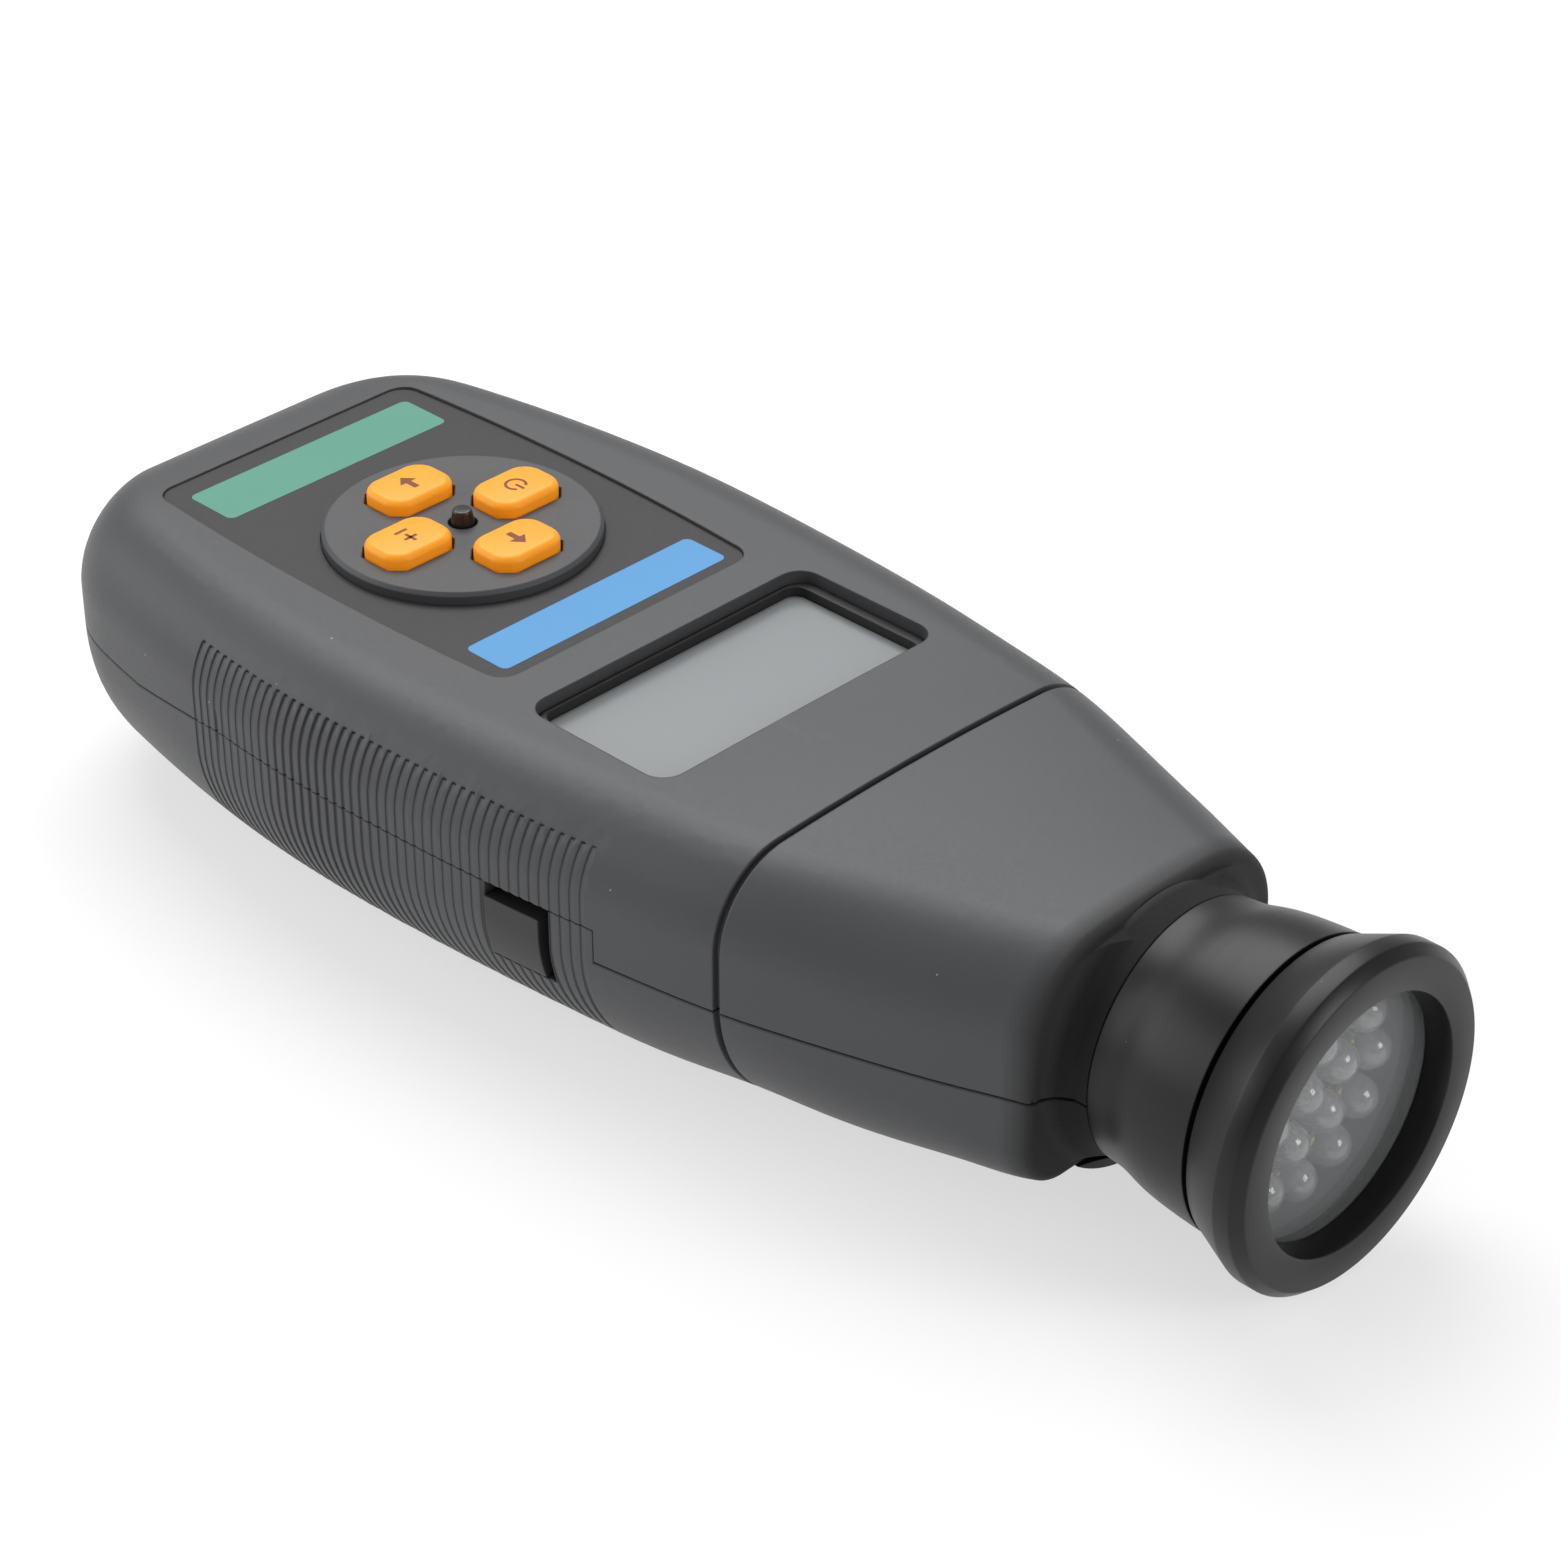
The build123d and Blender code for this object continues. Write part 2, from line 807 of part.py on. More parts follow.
def battery_cover(case, hollow):
    solid = (case - hollow) & bay(-cover_gap, -cover_gap, -lamp_axis_height - 1, cell_axis)
    rib_high = cell_axis - cell_radius
    for s in (cells_from + cover_rib_inset, cells_from + cell_length - cover_rib_inset):
        half = cover_rib_half_width
        solid += block(s, s + cover_rib_thickness, -half, half, back_inner - 0.5, rib_high)
    start = cells_from - contact_room
    end = cells_from + cell_length + contact_room
    for i in range(cell_count):
        solid -= along_x(start, end, cell_y(i), cell_axis, cell_radius + cell_clearance)
    grip_from = cells_from + cell_length - cover_grip_length
    half = cover_grip_width / 2
    grip_high = -lamp_axis_height + cover_grip_depth
    return solid - block(grip_from, grip_from + cover_grip_length, -half, half, grip_high - 2, grip_high)


def cell_y(i):
    return (i - (cell_count - 1) / 2) * (2 * cell_radius + cell_gap)


def along_x(from_station, to_station, y, height, radius):
    """A cylinder along the object."""
    middle = Pos(x_at((from_station + to_station) / 2), y, z_at(height))
    return middle * Rot(0, 90, 0) * Cylinder(radius, to_station - from_station)


def cell(i):
    """One cell; every second one is turned round."""
    end = cells_from + cell_length
    if i % 2 == 0:
        body = along_x(cells_from, end - cell_nub, cell_y(i), cell_axis, cell_radius)
        return body + along_x(end - cell_nub, end, cell_y(i), cell_axis, cell_nub_radius)
    body = along_x(cells_from + cell_nub, end, cell_y(i), cell_axis, cell_radius)
    return body + along_x(cells_from, cells_from + cell_nub, cell_y(i), cell_axis, cell_nub_radius)


def contact_plates():
    """Flat plates at both ends, with a button towards each positive pole."""
    rear = cells_from - contact_room
    front = cells_from + cell_length + contact_room
    half = contact_width / 2
    plates = []
    for i in range(cell_count):
        y = cell_y(i)
        low = cell_axis - half
        back_plate = block(rear, rear + contact_thickness, y - half, y + half, low, cell_axis + half)
        front_plate = block(front - contact_thickness, front, y - half, y + half, low, cell_axis + half)
        if i % 2 == 0:
            start = cells_from + cell_length + seat_gap
            front_plate += along_x(start, front - 0.1, y, cell_axis, contact_boss_radius)
        else:
            back_plate += along_x(rear + 0.1, cells_from - seat_gap, y, cell_axis, contact_boss_radius)
        plates += [back_plate, front_plate]
    return Compound(children=plates)


def contact_spring(i):
    """The coil against one cell's flat pole, in straight steps of square wire."""
    rear = cells_from - contact_room + contact_thickness
    reach = spring_wire / math.sqrt(2)
    height = contact_room - contact_thickness - 2 * reach
    steps = int(spring_turns * spring_steps)
    points = []
    for k in range(steps + 1):
        turn = 2 * math.pi * k / spring_steps
        points.append((spring_radius * math.cos(turn), spring_radius * math.sin(turn), height * k / steps))
    path = Polyline(*points)
    wire = Plane(origin=points[0], z_dir=path % 0) * Rectangle(spring_wire, spring_wire)
    coil = sweep(wire, path=path, transition=Transition.RIGHT)
    if i % 2 == 0:
        return Pos(x_at(rear + reach), cell_y(i), z_at(cell_axis)) * Rot(0, 90, 0) * coil
    front = cells_from + cell_length + contact_room - contact_thickness
    return Pos(x_at(front - reach), cell_y(i), z_at(cell_axis)) * Rot(0, -90, 0) * coil


# Screws


def screw(length):
    """A slotted-head screw pointing up, its head's top face at the origin."""
    head = Pos(0, 0, -screw_head_height / 2) * Cylinder(screw_head_radius, screw_head_height)
    head -= Pos(0, 0, -screw_head_height) * Box(2 * screw_head_radius + 1, screw_slot, screw_head_height)
    return head + Pos(0, 0, length / 2) * Cylinder(screw_radius, length)


def housing_screws():
    length = boss_meet + screw_grip - screw_seat
    places = [*case_screw_places, nose_screw_place]
    one = screw(length)
    return Compound(
        children=[Pos(x_at(s), side * y, z_at(screw_seat)) * one for s, y in places for side in (-1, 1)]
    )


def board_screws():
    low = board_top - board_thickness
    length = board_thickness + board_screw_grip
    return Compound(
        children=[
            Pos(x_at(s), side * board_screw_y, z_at(low)) * screw(length)
            for s in board_screw_stations
            for side in (-1, 1)
        ]
    )


# Lamp head


def lamp_neck():
    bell_points = ((lamp_neck_at, lamp_neck_radius), *lamp_bell, (lamp_end_at, lamp_end_radius))
    bell = Spline(*[(x_at(s), z_at(r)) for s, r in bell_points])
    corners = [
        (lamp_end_at, lamp_end_radius),
        (lamp_end_at, lamp_spigot_radius),
        (lamp_spigot_end, lamp_spigot_radius),
        (lamp_spigot_end, lamp_bore_radius),
        (led_board_from, lamp_bore_radius),
        (led_board_from, lamp_back_bore_radius),
        (lamp_back_bore_from, lamp_back_bore_radius),
        (lamp_back_bore_from, lamp_wire_radius),
        (lamp_tail_from, lamp_wire_radius),
        (lamp_tail_from, lamp_tail_flange_radius),
        (lamp_tail_flange_to, lamp_tail_flange_radius),
        (lamp_tail_flange_to, lamp_tail_radius),
        (lamp_neck_at, lamp_tail_radius),
        (lamp_neck_at, lamp_neck_radius),
    ]
    rest = Polyline(*[(x_at(s), z_at(r)) for s, r in corners])
    return revolve(Plane.XZ * make_face([bell, *rest.edges()]), Axis((0, 0, z_at(0)), (1, 0, 0)))


def lamp_bezel():
    bore = lamp_spigot_radius + bezel_thread_gap
    return turned(
        (bezel_from, bezel_rear_radius),
        (bezel_full_from, bezel_radius),
        (bezel_chamfer_from, bezel_radius),
        (total_length, bezel_front_radius),
        (total_length, bezel_mouth_radius),
        (glass_front_at, bezel_lip_radius),
        (glass_front_at, bore),
        (bezel_from, bore),
    )


glass_back = glass_front_at - glass_thickness
led_seat = led_board_from + led_board_thickness


def lamp_glass():
    radius = lamp_spigot_radius + bezel_thread_gap - glass_edge_gap
    return disc(glass_back, glass_front_at, radius)


def glass_gasket():
    radius = lamp_spigot_radius - gasket_gap
    inner = radius - gasket_width
    return disc(lamp_spigot_end, glass_back, radius) - disc(lamp_spigot_end, glass_back, inner)


def reflector_tube():
    radius = lamp_bore_radius - glass_edge_gap
    end = glass_back - tube_gap
    return disc(led_seat, end, radius) - disc(led_seat, end, radius - tube_wall)


def led_board():
    return disc(led_board_from, led_seat, lamp_bore_radius - glass_edge_gap)


def led():
    """One clear lamp on the axis, its dome in two tapers."""
    tip = led_seat + led_length
    half_way = led_radius * math.sqrt(0.5)
    return turned(
        (led_seat, 0),
        (led_seat, led_radius),
        (tip - led_radius, led_radius),
        (tip - led_radius + half_way, half_way),
        (tip, 0),
    )


def leds():
    one = led()
    placed = [one]
    for i in range(led_inner_count):
        turn = math.radians(led_inner_turn + i * 360 / led_inner_count)
        placed.append(Pos(0, led_inner_radius * math.cos(turn), led_inner_radius * math.sin(turn)) * one)
    for i in range(led_ring_count):
        turn = math.radians(i * 360 / led_ring_count)
        placed.append(Pos(0, led_ring_radius * math.cos(turn), led_ring_radius * math.sin(turn)) * one)
    return Compound(children=placed)


def build():
    """Every piece by its name."""
    hollow = form(wall)
    case = form() & between(-1, groove_at - butt_gap / 2)
    whole_nose = nose(hollow)
    tongue = nose_tongue()
    pieces = {
        "upper_case": upper_case(case, hollow),
        "lower_case": lower_case(case, hollow),
        "nose_upper": nose_upper(whole_nose, tongue),
        "nose_lower": nose_lower(whole_nose, tongue),
        "face_label": face_label(),
        "centre_stem": centre_stem(),
        "main_board": main_board(),
        "display_frame": display_frame(),
        "display_lens": display_lens(),
        "lcd_module": lcd_module(),
        "controller_chip": controller_chip(),
        "flash_capacitors": capacitors(),
        "lamp_lead": lamp_lead(),
        "side_key": side_key(),
        "side_switch": side_switch(),
        "side_plunger": side_plunger(),
        "side_board": side_board(),
        "battery_cover": battery_cover(case, hollow),
        "contact_plates": contact_plates(),
        "housing_screws": housing_screws(),
        "board_screws": board_screws(),
        "lamp_neck": lamp_neck(),
        "lamp_bezel": lamp_bezel(),
        "lamp_glass": lamp_glass(),
        "glass_gasket": glass_gasket(),
        "reflector_tube": reflector_tube(),
        "led_board": led_board(),
        "leds": leds(),
    }
    for name, (s, y) in key_places.items():
        pieces[f"key_{name}"] = Pos(s - pad_at, y, 0) * key()
    for name, (s, y) in switch_places.items():
        pieces[f"switch_{name}"] = Pos(s - pad_at, y, 0) * switch_body()
        pieces[f"plunger_{name}"] = Pos(s - pad_at, y, 0) * plunger()
    for i in range(cell_count):
        pieces[f"cell_{i + 1}"] = cell(i)
        pieces[f"contact_spring_{i + 1}"] = contact_spring(i)
    return pieces


os.makedirs("parts", exist_ok=True)
for name, piece in build().items():
    export_step(piece, f"parts/{name}.step")
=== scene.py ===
# %% [markdown]
# A hand-held strobe tachometer lies on its flat back. Everything is in metres, in one frame:
# +X runs from the handle to the lamp, +Z rises out of the display face, and the flank at -Y
# holds the side key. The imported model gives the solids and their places. This lesson gives
# them their surfaces, and adds the pieces that are too fine for the solids.

# %% Load the frame
import json
import math

import bmesh
import bpy
from mathutils import Matrix, Vector
from mathutils.bvhtree import BVHTree

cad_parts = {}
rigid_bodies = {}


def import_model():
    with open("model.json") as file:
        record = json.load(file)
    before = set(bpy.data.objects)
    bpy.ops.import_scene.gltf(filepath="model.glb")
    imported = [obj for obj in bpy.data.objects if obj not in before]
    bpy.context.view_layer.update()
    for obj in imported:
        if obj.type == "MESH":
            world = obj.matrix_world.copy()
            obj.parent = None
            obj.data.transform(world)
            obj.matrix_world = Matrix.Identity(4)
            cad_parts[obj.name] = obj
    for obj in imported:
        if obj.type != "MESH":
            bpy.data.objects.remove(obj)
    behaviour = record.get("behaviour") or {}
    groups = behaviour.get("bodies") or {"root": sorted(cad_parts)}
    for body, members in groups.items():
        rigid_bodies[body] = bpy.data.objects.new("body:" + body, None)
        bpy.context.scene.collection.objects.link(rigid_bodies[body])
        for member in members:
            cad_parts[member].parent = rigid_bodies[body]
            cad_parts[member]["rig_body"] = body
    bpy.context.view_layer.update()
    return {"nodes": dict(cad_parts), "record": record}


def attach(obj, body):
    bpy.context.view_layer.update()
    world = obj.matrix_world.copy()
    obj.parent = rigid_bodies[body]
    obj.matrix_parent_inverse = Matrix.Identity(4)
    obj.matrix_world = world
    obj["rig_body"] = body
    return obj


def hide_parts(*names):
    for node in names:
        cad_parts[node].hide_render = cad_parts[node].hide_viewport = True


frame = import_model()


# %% [markdown]
# Along the housing it is easier to think in millimetres from the rear end, and in heights
# from the lamp's axis, as a drawing of it would. Three small numbers turn such a place into
# the frame's metres, and every later step uses them.

# %% Places on the drawing
MM = 0.001
HALF_LENGTH = 92.3
AXIS_HEIGHT = 20.4


def place(station, y, height):
    """The frame's point for a station, a side and a height in millimetres."""
    return Vector(((station - HALF_LENGTH) * MM, y * MM, (height + AXIS_HEIGHT) * MM))


print("the lamp's front is at", tuple(place(184.6, 0, 0)))

# %% [markdown]
# The camera stands to the front right of the lamp and looks down at 33 degrees. It is made
# from two angles rather than aimed at a target, because the angles are what a photographer
# would note down. A long lens keeps the housing's sides nearly parallel.

# %% Camera
CAMERA_AZIMUTH = 44.33
CAMERA_ELEVATION = 33.04
CAMERA_PLACE = (0.2921, -0.29045, 0.2889)
LENS_MM = 97.8
SENSOR_MM = 36.0
NEAREST_SEEN = 0.01
FARTHEST_SEEN = 20.0

camera_data = bpy.data.cameras.new("camera")
camera_data.lens = LENS_MM
camera_data.sensor_width = SENSOR_MM
camera_data.clip_start = NEAREST_SEEN
camera_data.clip_end = FARTHEST_SEEN
camera = bpy.data.objects.new("camera", camera_data)
camera.location = CAMERA_PLACE
camera.rotation_euler = (math.radians(90 - CAMERA_ELEVATION), 0, math.radians(CAMERA_AZIMUTH))
bpy.context.scene.collection.objects.link(camera)
bpy.context.scene.camera = camera
bpy.context.scene.view_settings.view_transform = "Standard"
print("camera at", tuple(camera.location))

# %% [markdown]
# A material is a graph of nodes, and long graphs are hard to read as calls. Here one small
# class wraps a socket, so that a sum or a product is written as in a formula. Numbers
# alone are worked out in Python and never become nodes.

# %% A socket that can be calculated with
class Value:
    """A node's output that Python operators can work on."""

    def __init__(self, finish, socket):
        self.finish = finish
        self.socket = socket

    def math(self, operation, a, b):
        return self.finish.node("ShaderNodeMath", {"operation": operation}, {0: a, 1: b})

    def __add__(self, other):
        return self.math("ADD", self, other)

    def __sub__(self, other):
        return self.math("SUBTRACT", self, other)

    def __rsub__(self, other):
        return self.math("SUBTRACT", other, self)

    def __mul__(self, other):
        return self.math("MULTIPLY", self, other)

    def __truediv__(self, other):
        return self.math("DIVIDE", self, other)

    def __gt__(self, other):
        return self.math("GREATER_THAN", self, other)

    def __lt__(self, other):
        return self.math("LESS_THAN", self, other)


print("a value can be added, subtracted, multiplied, divided and compared")

# %% [markdown]
# A finish is one material. Its class builds the graph round the Principled shader: one method
# adds any node, and a few short ones add what plastic, film and metal need, such as a noise,
# a bump or a soft edge. All patterns read the object's own coordinates, so that they stay in
# their places on the surface wherever the camera stands.

# %% A material and its nodes
class Finish:
    """One material and the nodes that make it."""

    def __init__(self, name, colour, roughness, metallic=0.0):
        self.material = bpy.data.materials.new(name)
        self.material.use_nodes = True
        self.tree = self.material.node_tree
        self.shader = self.tree.nodes["Principled BSDF"]
        self.set("Base Color", (*colour, 1.0))
        self.set("Roughness", roughness)
        self.set("Metallic", metallic)
        self.material.diffuse_color = (*colour, 1.0)

    def link(self, value, socket):
        """Feed a socket from a node, or set it to a plain number."""
        if isinstance(value, Value):
            self.tree.links.new(value.socket, socket)
        else:
            socket.default_value = value

    def set(self, socket_name, value):
        self.link(value, self.shader.inputs[socket_name])

    def node(self, kind, settings=None, inputs=None, output=0):
        """Make one node and give back the output that is used of it."""
        made = self.tree.nodes.new(kind)
        for key, value in (settings or {}).items():
            setattr(made, key, value)
        for key, value in (inputs or {}).items():
            self.link(value, made.inputs[key])
        return Value(self, made.outputs[output])

    def here(self):
        """The point of the surface, in the frame's metres."""
        return self.node("ShaderNodeTexCoord", output="Object")

    def axes(self):
        """The same point as three values, X, Y and Z."""
        split = self.node("ShaderNodeSeparateXYZ", inputs={"Vector": self.here()})
        outputs = split.socket.node.outputs
        return [Value(self, outputs[i]) for i in range(3)]

    def noise(self, size_mm, detail=2.0, stretch=(1, 1, 1)):
        """A cloudy pattern with this grain, finer along an axis that is stretched."""
        point = self.node("ShaderNodeVectorMath", {"operation": "MULTIPLY"}, {0: self.here(), 1: stretch})
        inputs = {"Vector": point, "Scale": 1 / MM / size_mm, "Detail": detail}
        return self.node("ShaderNodeTexNoise", inputs=inputs)

    def mix_colour(self, factor, a, b):
        inputs = {"Factor": factor, 6: a, 7: b}
        return self.node("ShaderNodeMix", {"data_type": "RGBA"}, inputs, output=2)

    def shades(self, factor, tint, spread):
        """A tint that is a share darker where the factor is 0, and lighter where it is 1."""
        dark = (*(c * (1 - spread) for c in tint), 1.0)
        light = (*(min(1.0, c * (1 + spread)) for c in tint), 1.0)
        return self.mix_colour(factor, dark, light)

    def bump(self, height, distance_mm, strength=1.0, normal=None):
        inputs = {"Height": height, "Distance": distance_mm * MM, "Strength": strength}
        if normal is not None:
            inputs["Normal"] = normal
        return self.node("ShaderNodeBump", inputs=inputs)

    def soft_edges(self, radius_mm, samples=6):
        """A normal that runs round every edge as if it had this radius."""
        return self.node("ShaderNodeBevel", {"samples": samples}, {"Radius": radius_mm * MM})

    def clamp(self, value):
        """The value, held between 0 and 1."""
        return self.node("ShaderNodeClamp", inputs={"Value": value})


def srgb(hex_colour):
    """A picture's colour as the linear numbers that shaders use."""
    parts = [int(hex_colour[i : i + 2], 16) / 255 for i in (0, 2, 4)]
    return tuple(c / 12.92 if c <= 0.04045 else ((c + 0.055) / 1.055) ** 2.4 for c in parts)


print("helpers for finishes are ready")

# %% [markdown]
# The housing is moulded in dark grey plastic. Its surface has a very fine spark texture, so
# highlights are broad and soft. Handling leaves slightly smoother patches, a few pale dust
# specks and one light rub in front of the window. All of it is small: large blotches would
# look like paint, not like plastic. The nose's front, where the housing meets the lamp's neck,
# is painted shade: its colour fades to nearly black there, for the shadow in the hollow round
# the neck, and it is made rougher as well.

# %% Finish of the housing
RUB_X = place(108.8, 0, 0).x
RUB_Y = -6.5 * MM
RUB_LOWEST = place(0, 0, 14.6).z
RUB_LENGTH = 7.0 * MM
RUB_WIDTH = 9.0 * MM
RUB_STRETCH = (0.35, 1.6, 1.0)
RUB_TINT = (0.30, 0.30, 0.29, 1.0)
RUB_SHARE = 0.14
DUST_TINT = (0.42, 0.42, 0.40, 1.0)
DUST_SHARE = 0.55
TONE_SPREAD = 0.07
# Painted shade: from here the nose's front fades to nearly black towards the lamp's neck, for the shadow
# in the hollow round it.
COLLAR_SHADE_START = place(152.9, 0, 0).x
COLLAR_SHADE_FADE = 4.6 * MM
COLLAR_SHADE_TINT = (0.006, 0.006, 0.006, 1.0)


def specks(finish, size_mm, amount):
    """A mask of sparse dots, about one in each cell of the size."""
    inputs = {"Vector": finish.here(), "Scale": 1 / MM / size_mm, "Randomness": 1.0}
    return finish.node("ShaderNodeTexVoronoi", inputs=inputs) < amount


def near(finish, coordinate, middle, reach):
    """A mask that is 1 at a middle and falls to 0 within the reach."""
    away = finish.node("ShaderNodeMath", {"operation": "ABSOLUTE"}, {0: coordinate - middle})
    return 1 - finish.clamp(away / reach)


def housing_finish(name, colour, roughness, radius_mm):
    tint = srgb(colour)
    finish = Finish(name, tint, roughness)
    x, y, z = finish.axes()
    broad = finish.noise(26.0, 3.0)
    fine = finish.noise(0.55, 1.0)
    rub = finish.noise(5.0, 4.0, RUB_STRETCH)
    worn = finish.clamp((rub - 0.52) * 7.0)
    worn = worn * near(finish, x, RUB_X, RUB_LENGTH) * near(finish, y, RUB_Y, RUB_WIDTH) * (z > RUB_LOWEST)
    dust = specks(finish, 6.5, 0.022)
    tone = finish.clamp((broad - 0.5) * 0.9 + 0.5)
    # Painted shade towards the lamp's neck; it also raises the roughness there.
    collar_shade = finish.clamp((x - COLLAR_SHADE_START) / COLLAR_SHADE_FADE)
    base = finish.shades(tone, tint, TONE_SPREAD)
    base = finish.mix_colour(worn * RUB_SHARE, base, RUB_TINT)
    base = finish.mix_colour(dust * DUST_SHARE, base, DUST_TINT)
    base = finish.mix_colour(collar_shade, base, COLLAR_SHADE_TINT)
    finish.set("Base Color", base)
    rough = (tone - 0.5) * 0.08 + (fine - 0.5) * 0.10 + worn * 0.12 + collar_shade * 0.4 + roughness
    finish.set("Roughness", finish.clamp(rough))
    finish.set("Normal", finish.bump(fine, 0.018, 0.55, finish.soft_edges(radius_mm)))
    finish.set("Specular IOR Level", 0.38)
    return finish


case_plastic = housing_finish("case_plastic", "464749", 0.48, 0.3)
side_key_plastic = housing_finish("side_key_plastic", "2c2c2d", 0.40, 0.3)
frame_plastic = housing_finish("frame_plastic", "262627", 0.5, 0.2)
for made in (case_plastic, side_key_plastic, frame_plastic):
    print("housing finish", made.material.name, "with", len(made.tree.nodes), "nodes")

# %% [markdown]
# The label is a charcoal film. It carries a green and a blue band that stay bare. The film
# has a faint silk-screen grain, which is finer and flatter than that of the plastic round it.

# %% Finishes of the label and its bands
def film_finish(name, colour, roughness):
    tint = srgb(colour)
    finish = Finish(name, tint, roughness)
    grain = finish.noise(0.4, 1.0)
    cloud = finish.noise(18.0, 2.0)
    finish.set("Base Color", finish.shades(cloud, tint, 0.05))
    finish.set("Roughness", finish.clamp((grain - 0.5) * 0.12 + roughness))
    finish.set("Normal", finish.bump(grain, 0.006, 0.4))
    finish.set("Specular IOR Level", 0.34)
    return finish


label_film = film_finish("label_film", "28282a", 0.50)
band_green = film_finish("band_green", "51917e", 0.48)
band_blue = film_finish("band_blue", "4d92c9", 0.48)
key_print = film_finish("key_print", "7a3a14", 0.5)
print("label finishes made")

# %% [markdown]
# The keys are moulded in a hard, slightly translucent fluorescent orange. Their glow is
# painted light: a weak emission of their own, which shines whatever light falls on them.
# With a little subsurface light it keeps the shaded sides warm instead of brown.

# %% Finish of the keys
# Painted glow: the keys give off a weak orange light of their own, though they are no lamp.
PAINTED_GLOW = (1.0, 0.17, 0.0, 1.0)
PAINTED_GLOW_STRENGTH = 0.30
LIGHT_SPREAD = (1.0, 0.45, 0.12)
LIGHT_REACH = 2.6 * MM


def opaque(colour):
    """A picture's colour as a shader's four numbers."""
    return (*srgb(colour), 1.0)


key_orange = Finish("key_orange", srgb("d89b21"), 0.38)
orange_cloud = key_orange.noise(3.0, 2.0)
key_orange.set("Base Color", key_orange.mix_colour(orange_cloud, opaque("d6981e"), opaque("da9e24")))
key_orange.set("Specular IOR Level", 0.3)
# Painted glow: a constant emission that stands in for light on the keys.
key_orange.set("Emission Color", PAINTED_GLOW)
key_orange.set("Emission Strength", PAINTED_GLOW_STRENGTH)
key_orange.set("Subsurface Weight", 0.3)
key_orange.set("Subsurface Radius", LIGHT_SPREAD)
key_orange.set("Subsurface Scale", LIGHT_REACH)
key_grain = key_orange.noise(0.5, 1.0)
key_orange.set("Normal", key_orange.bump(key_grain, 0.006, 0.4, key_orange.soft_edges(0.35)))

stem_black = Finish("stem_black", srgb("1d1c1e"), 0.22)
stem_black.set("Normal", stem_black.soft_edges(0.2))
stem_black.set("Roughness", stem_black.clamp(stem_black.noise(1.2, 2.0) * 0.1 + 0.18))
print("key finishes made")

# %% [markdown]
# The lamp's neck and bezel are turned from aluminium and anodised black. Turning leaves
# fine rings round the axis, which stretch the highlights a little. They are drawn by a
# noise that is long round the axis: it reads the distance along X and from the axis only.

# %% Finish of the lamp
RINGS_PER_METRE = 4200.0
LAMP_DUST_TINT = (0.2, 0.2, 0.2, 1.0)


def turned_finish(name, colour, roughness):
    finish = Finish(name, srgb(colour), roughness)
    x, y, z = finish.axes()
    across = finish.node("ShaderNodeMath", {"operation": "POWER"}, {0: y, 1: 2.0})
    up = finish.node("ShaderNodeMath", {"operation": "POWER"}, {0: z - AXIS_HEIGHT * MM, 1: 2.0})
    radius = finish.node("ShaderNodeMath", {"operation": "SQRT"}, {0: across + up})
    ring_point = finish.node("ShaderNodeCombineXYZ", inputs={"X": x, "Y": radius, "Z": 0.0})
    ring_inputs = {"Vector": ring_point, "Scale": RINGS_PER_METRE, "Detail": 1.0}
    rings = finish.node("ShaderNodeTexNoise", inputs=ring_inputs)
    cloud = finish.noise(9.0, 3.0)
    finish.set("Roughness", finish.clamp((rings - 0.5) * 0.10 + (cloud - 0.5) * 0.10 + roughness))
    finish.set("Normal", finish.bump(rings, 0.004, 0.35, finish.soft_edges(0.25)))
    dust = specks(finish, 5.0, 0.018)
    finish.set("Base Color", finish.mix_colour(dust * 0.4, opaque(colour), LAMP_DUST_TINT))
    finish.set("Specular IOR Level", 0.32)
    return finish


lamp_black = turned_finish("lamp_black", "0f0f10", 0.38)
inner_black = Finish("inner_black", srgb("121213"), 0.55)
inner_black.set("Roughness", inner_black.clamp(inner_black.noise(2.0, 2.0) * 0.15 + 0.45))
print("lamp finishes made")

# %% [markdown]
# Glass, lens and the clear lamps come next. The lamps' flat glass is thin: it lets most of
# the light through and lays a pale veil over the dark inside, so it is a nearly transparent
# grey. The clear lamps bend the light, and a small part of it scatters in them. The display
# lens is grey behind a smooth surface, because the display is off.

# %% Finishes of glass, lens and clear lamps
lamp_glass = Finish("lamp_glass", (0.58, 0.60, 0.61), 0.05)
lamp_glass.set("Alpha", 0.14)
lamp_glass.set("Roughness", lamp_glass.clamp(lamp_glass.noise(8.0, 2.0) * 0.03 + 0.02))

led_clear = Finish("led_clear", (0.92, 0.95, 0.96), 0.04)
led_clear.set("Transmission Weight", 0.84)
led_clear.set("Coat Weight", 1.0)
led_clear.set("IOR", 1.5)
led_clear.set("Roughness", led_clear.clamp(led_clear.noise(1.5, 2.0) * 0.04 + 0.02))

led_metal = Finish("led_metal", (0.72, 0.71, 0.66), 0.3, 1.0)
led_metal.set("Roughness", led_metal.clamp(led_metal.noise(0.8, 2.0) * 0.3 + 0.15))

led_die = Finish("led_die", srgb("e8d36a"), 0.5)
led_die.set("Roughness", led_die.clamp(led_die.noise(0.5, 1.0) * 0.2 + 0.4))

lens_grey = Finish("lens_grey", srgb("7a7e80"), 0.32)
lens_cloud = lens_grey.noise(20.0, 2.0)
lens_grey.set("Base Color", lens_grey.mix_colour(lens_cloud, opaque("777b7d"), opaque("7d8183")))
lens_grey.set("Roughness", lens_grey.clamp(lens_grey.noise(12.0, 2.0) * 0.08 + 0.28))
print("glass finishes made")

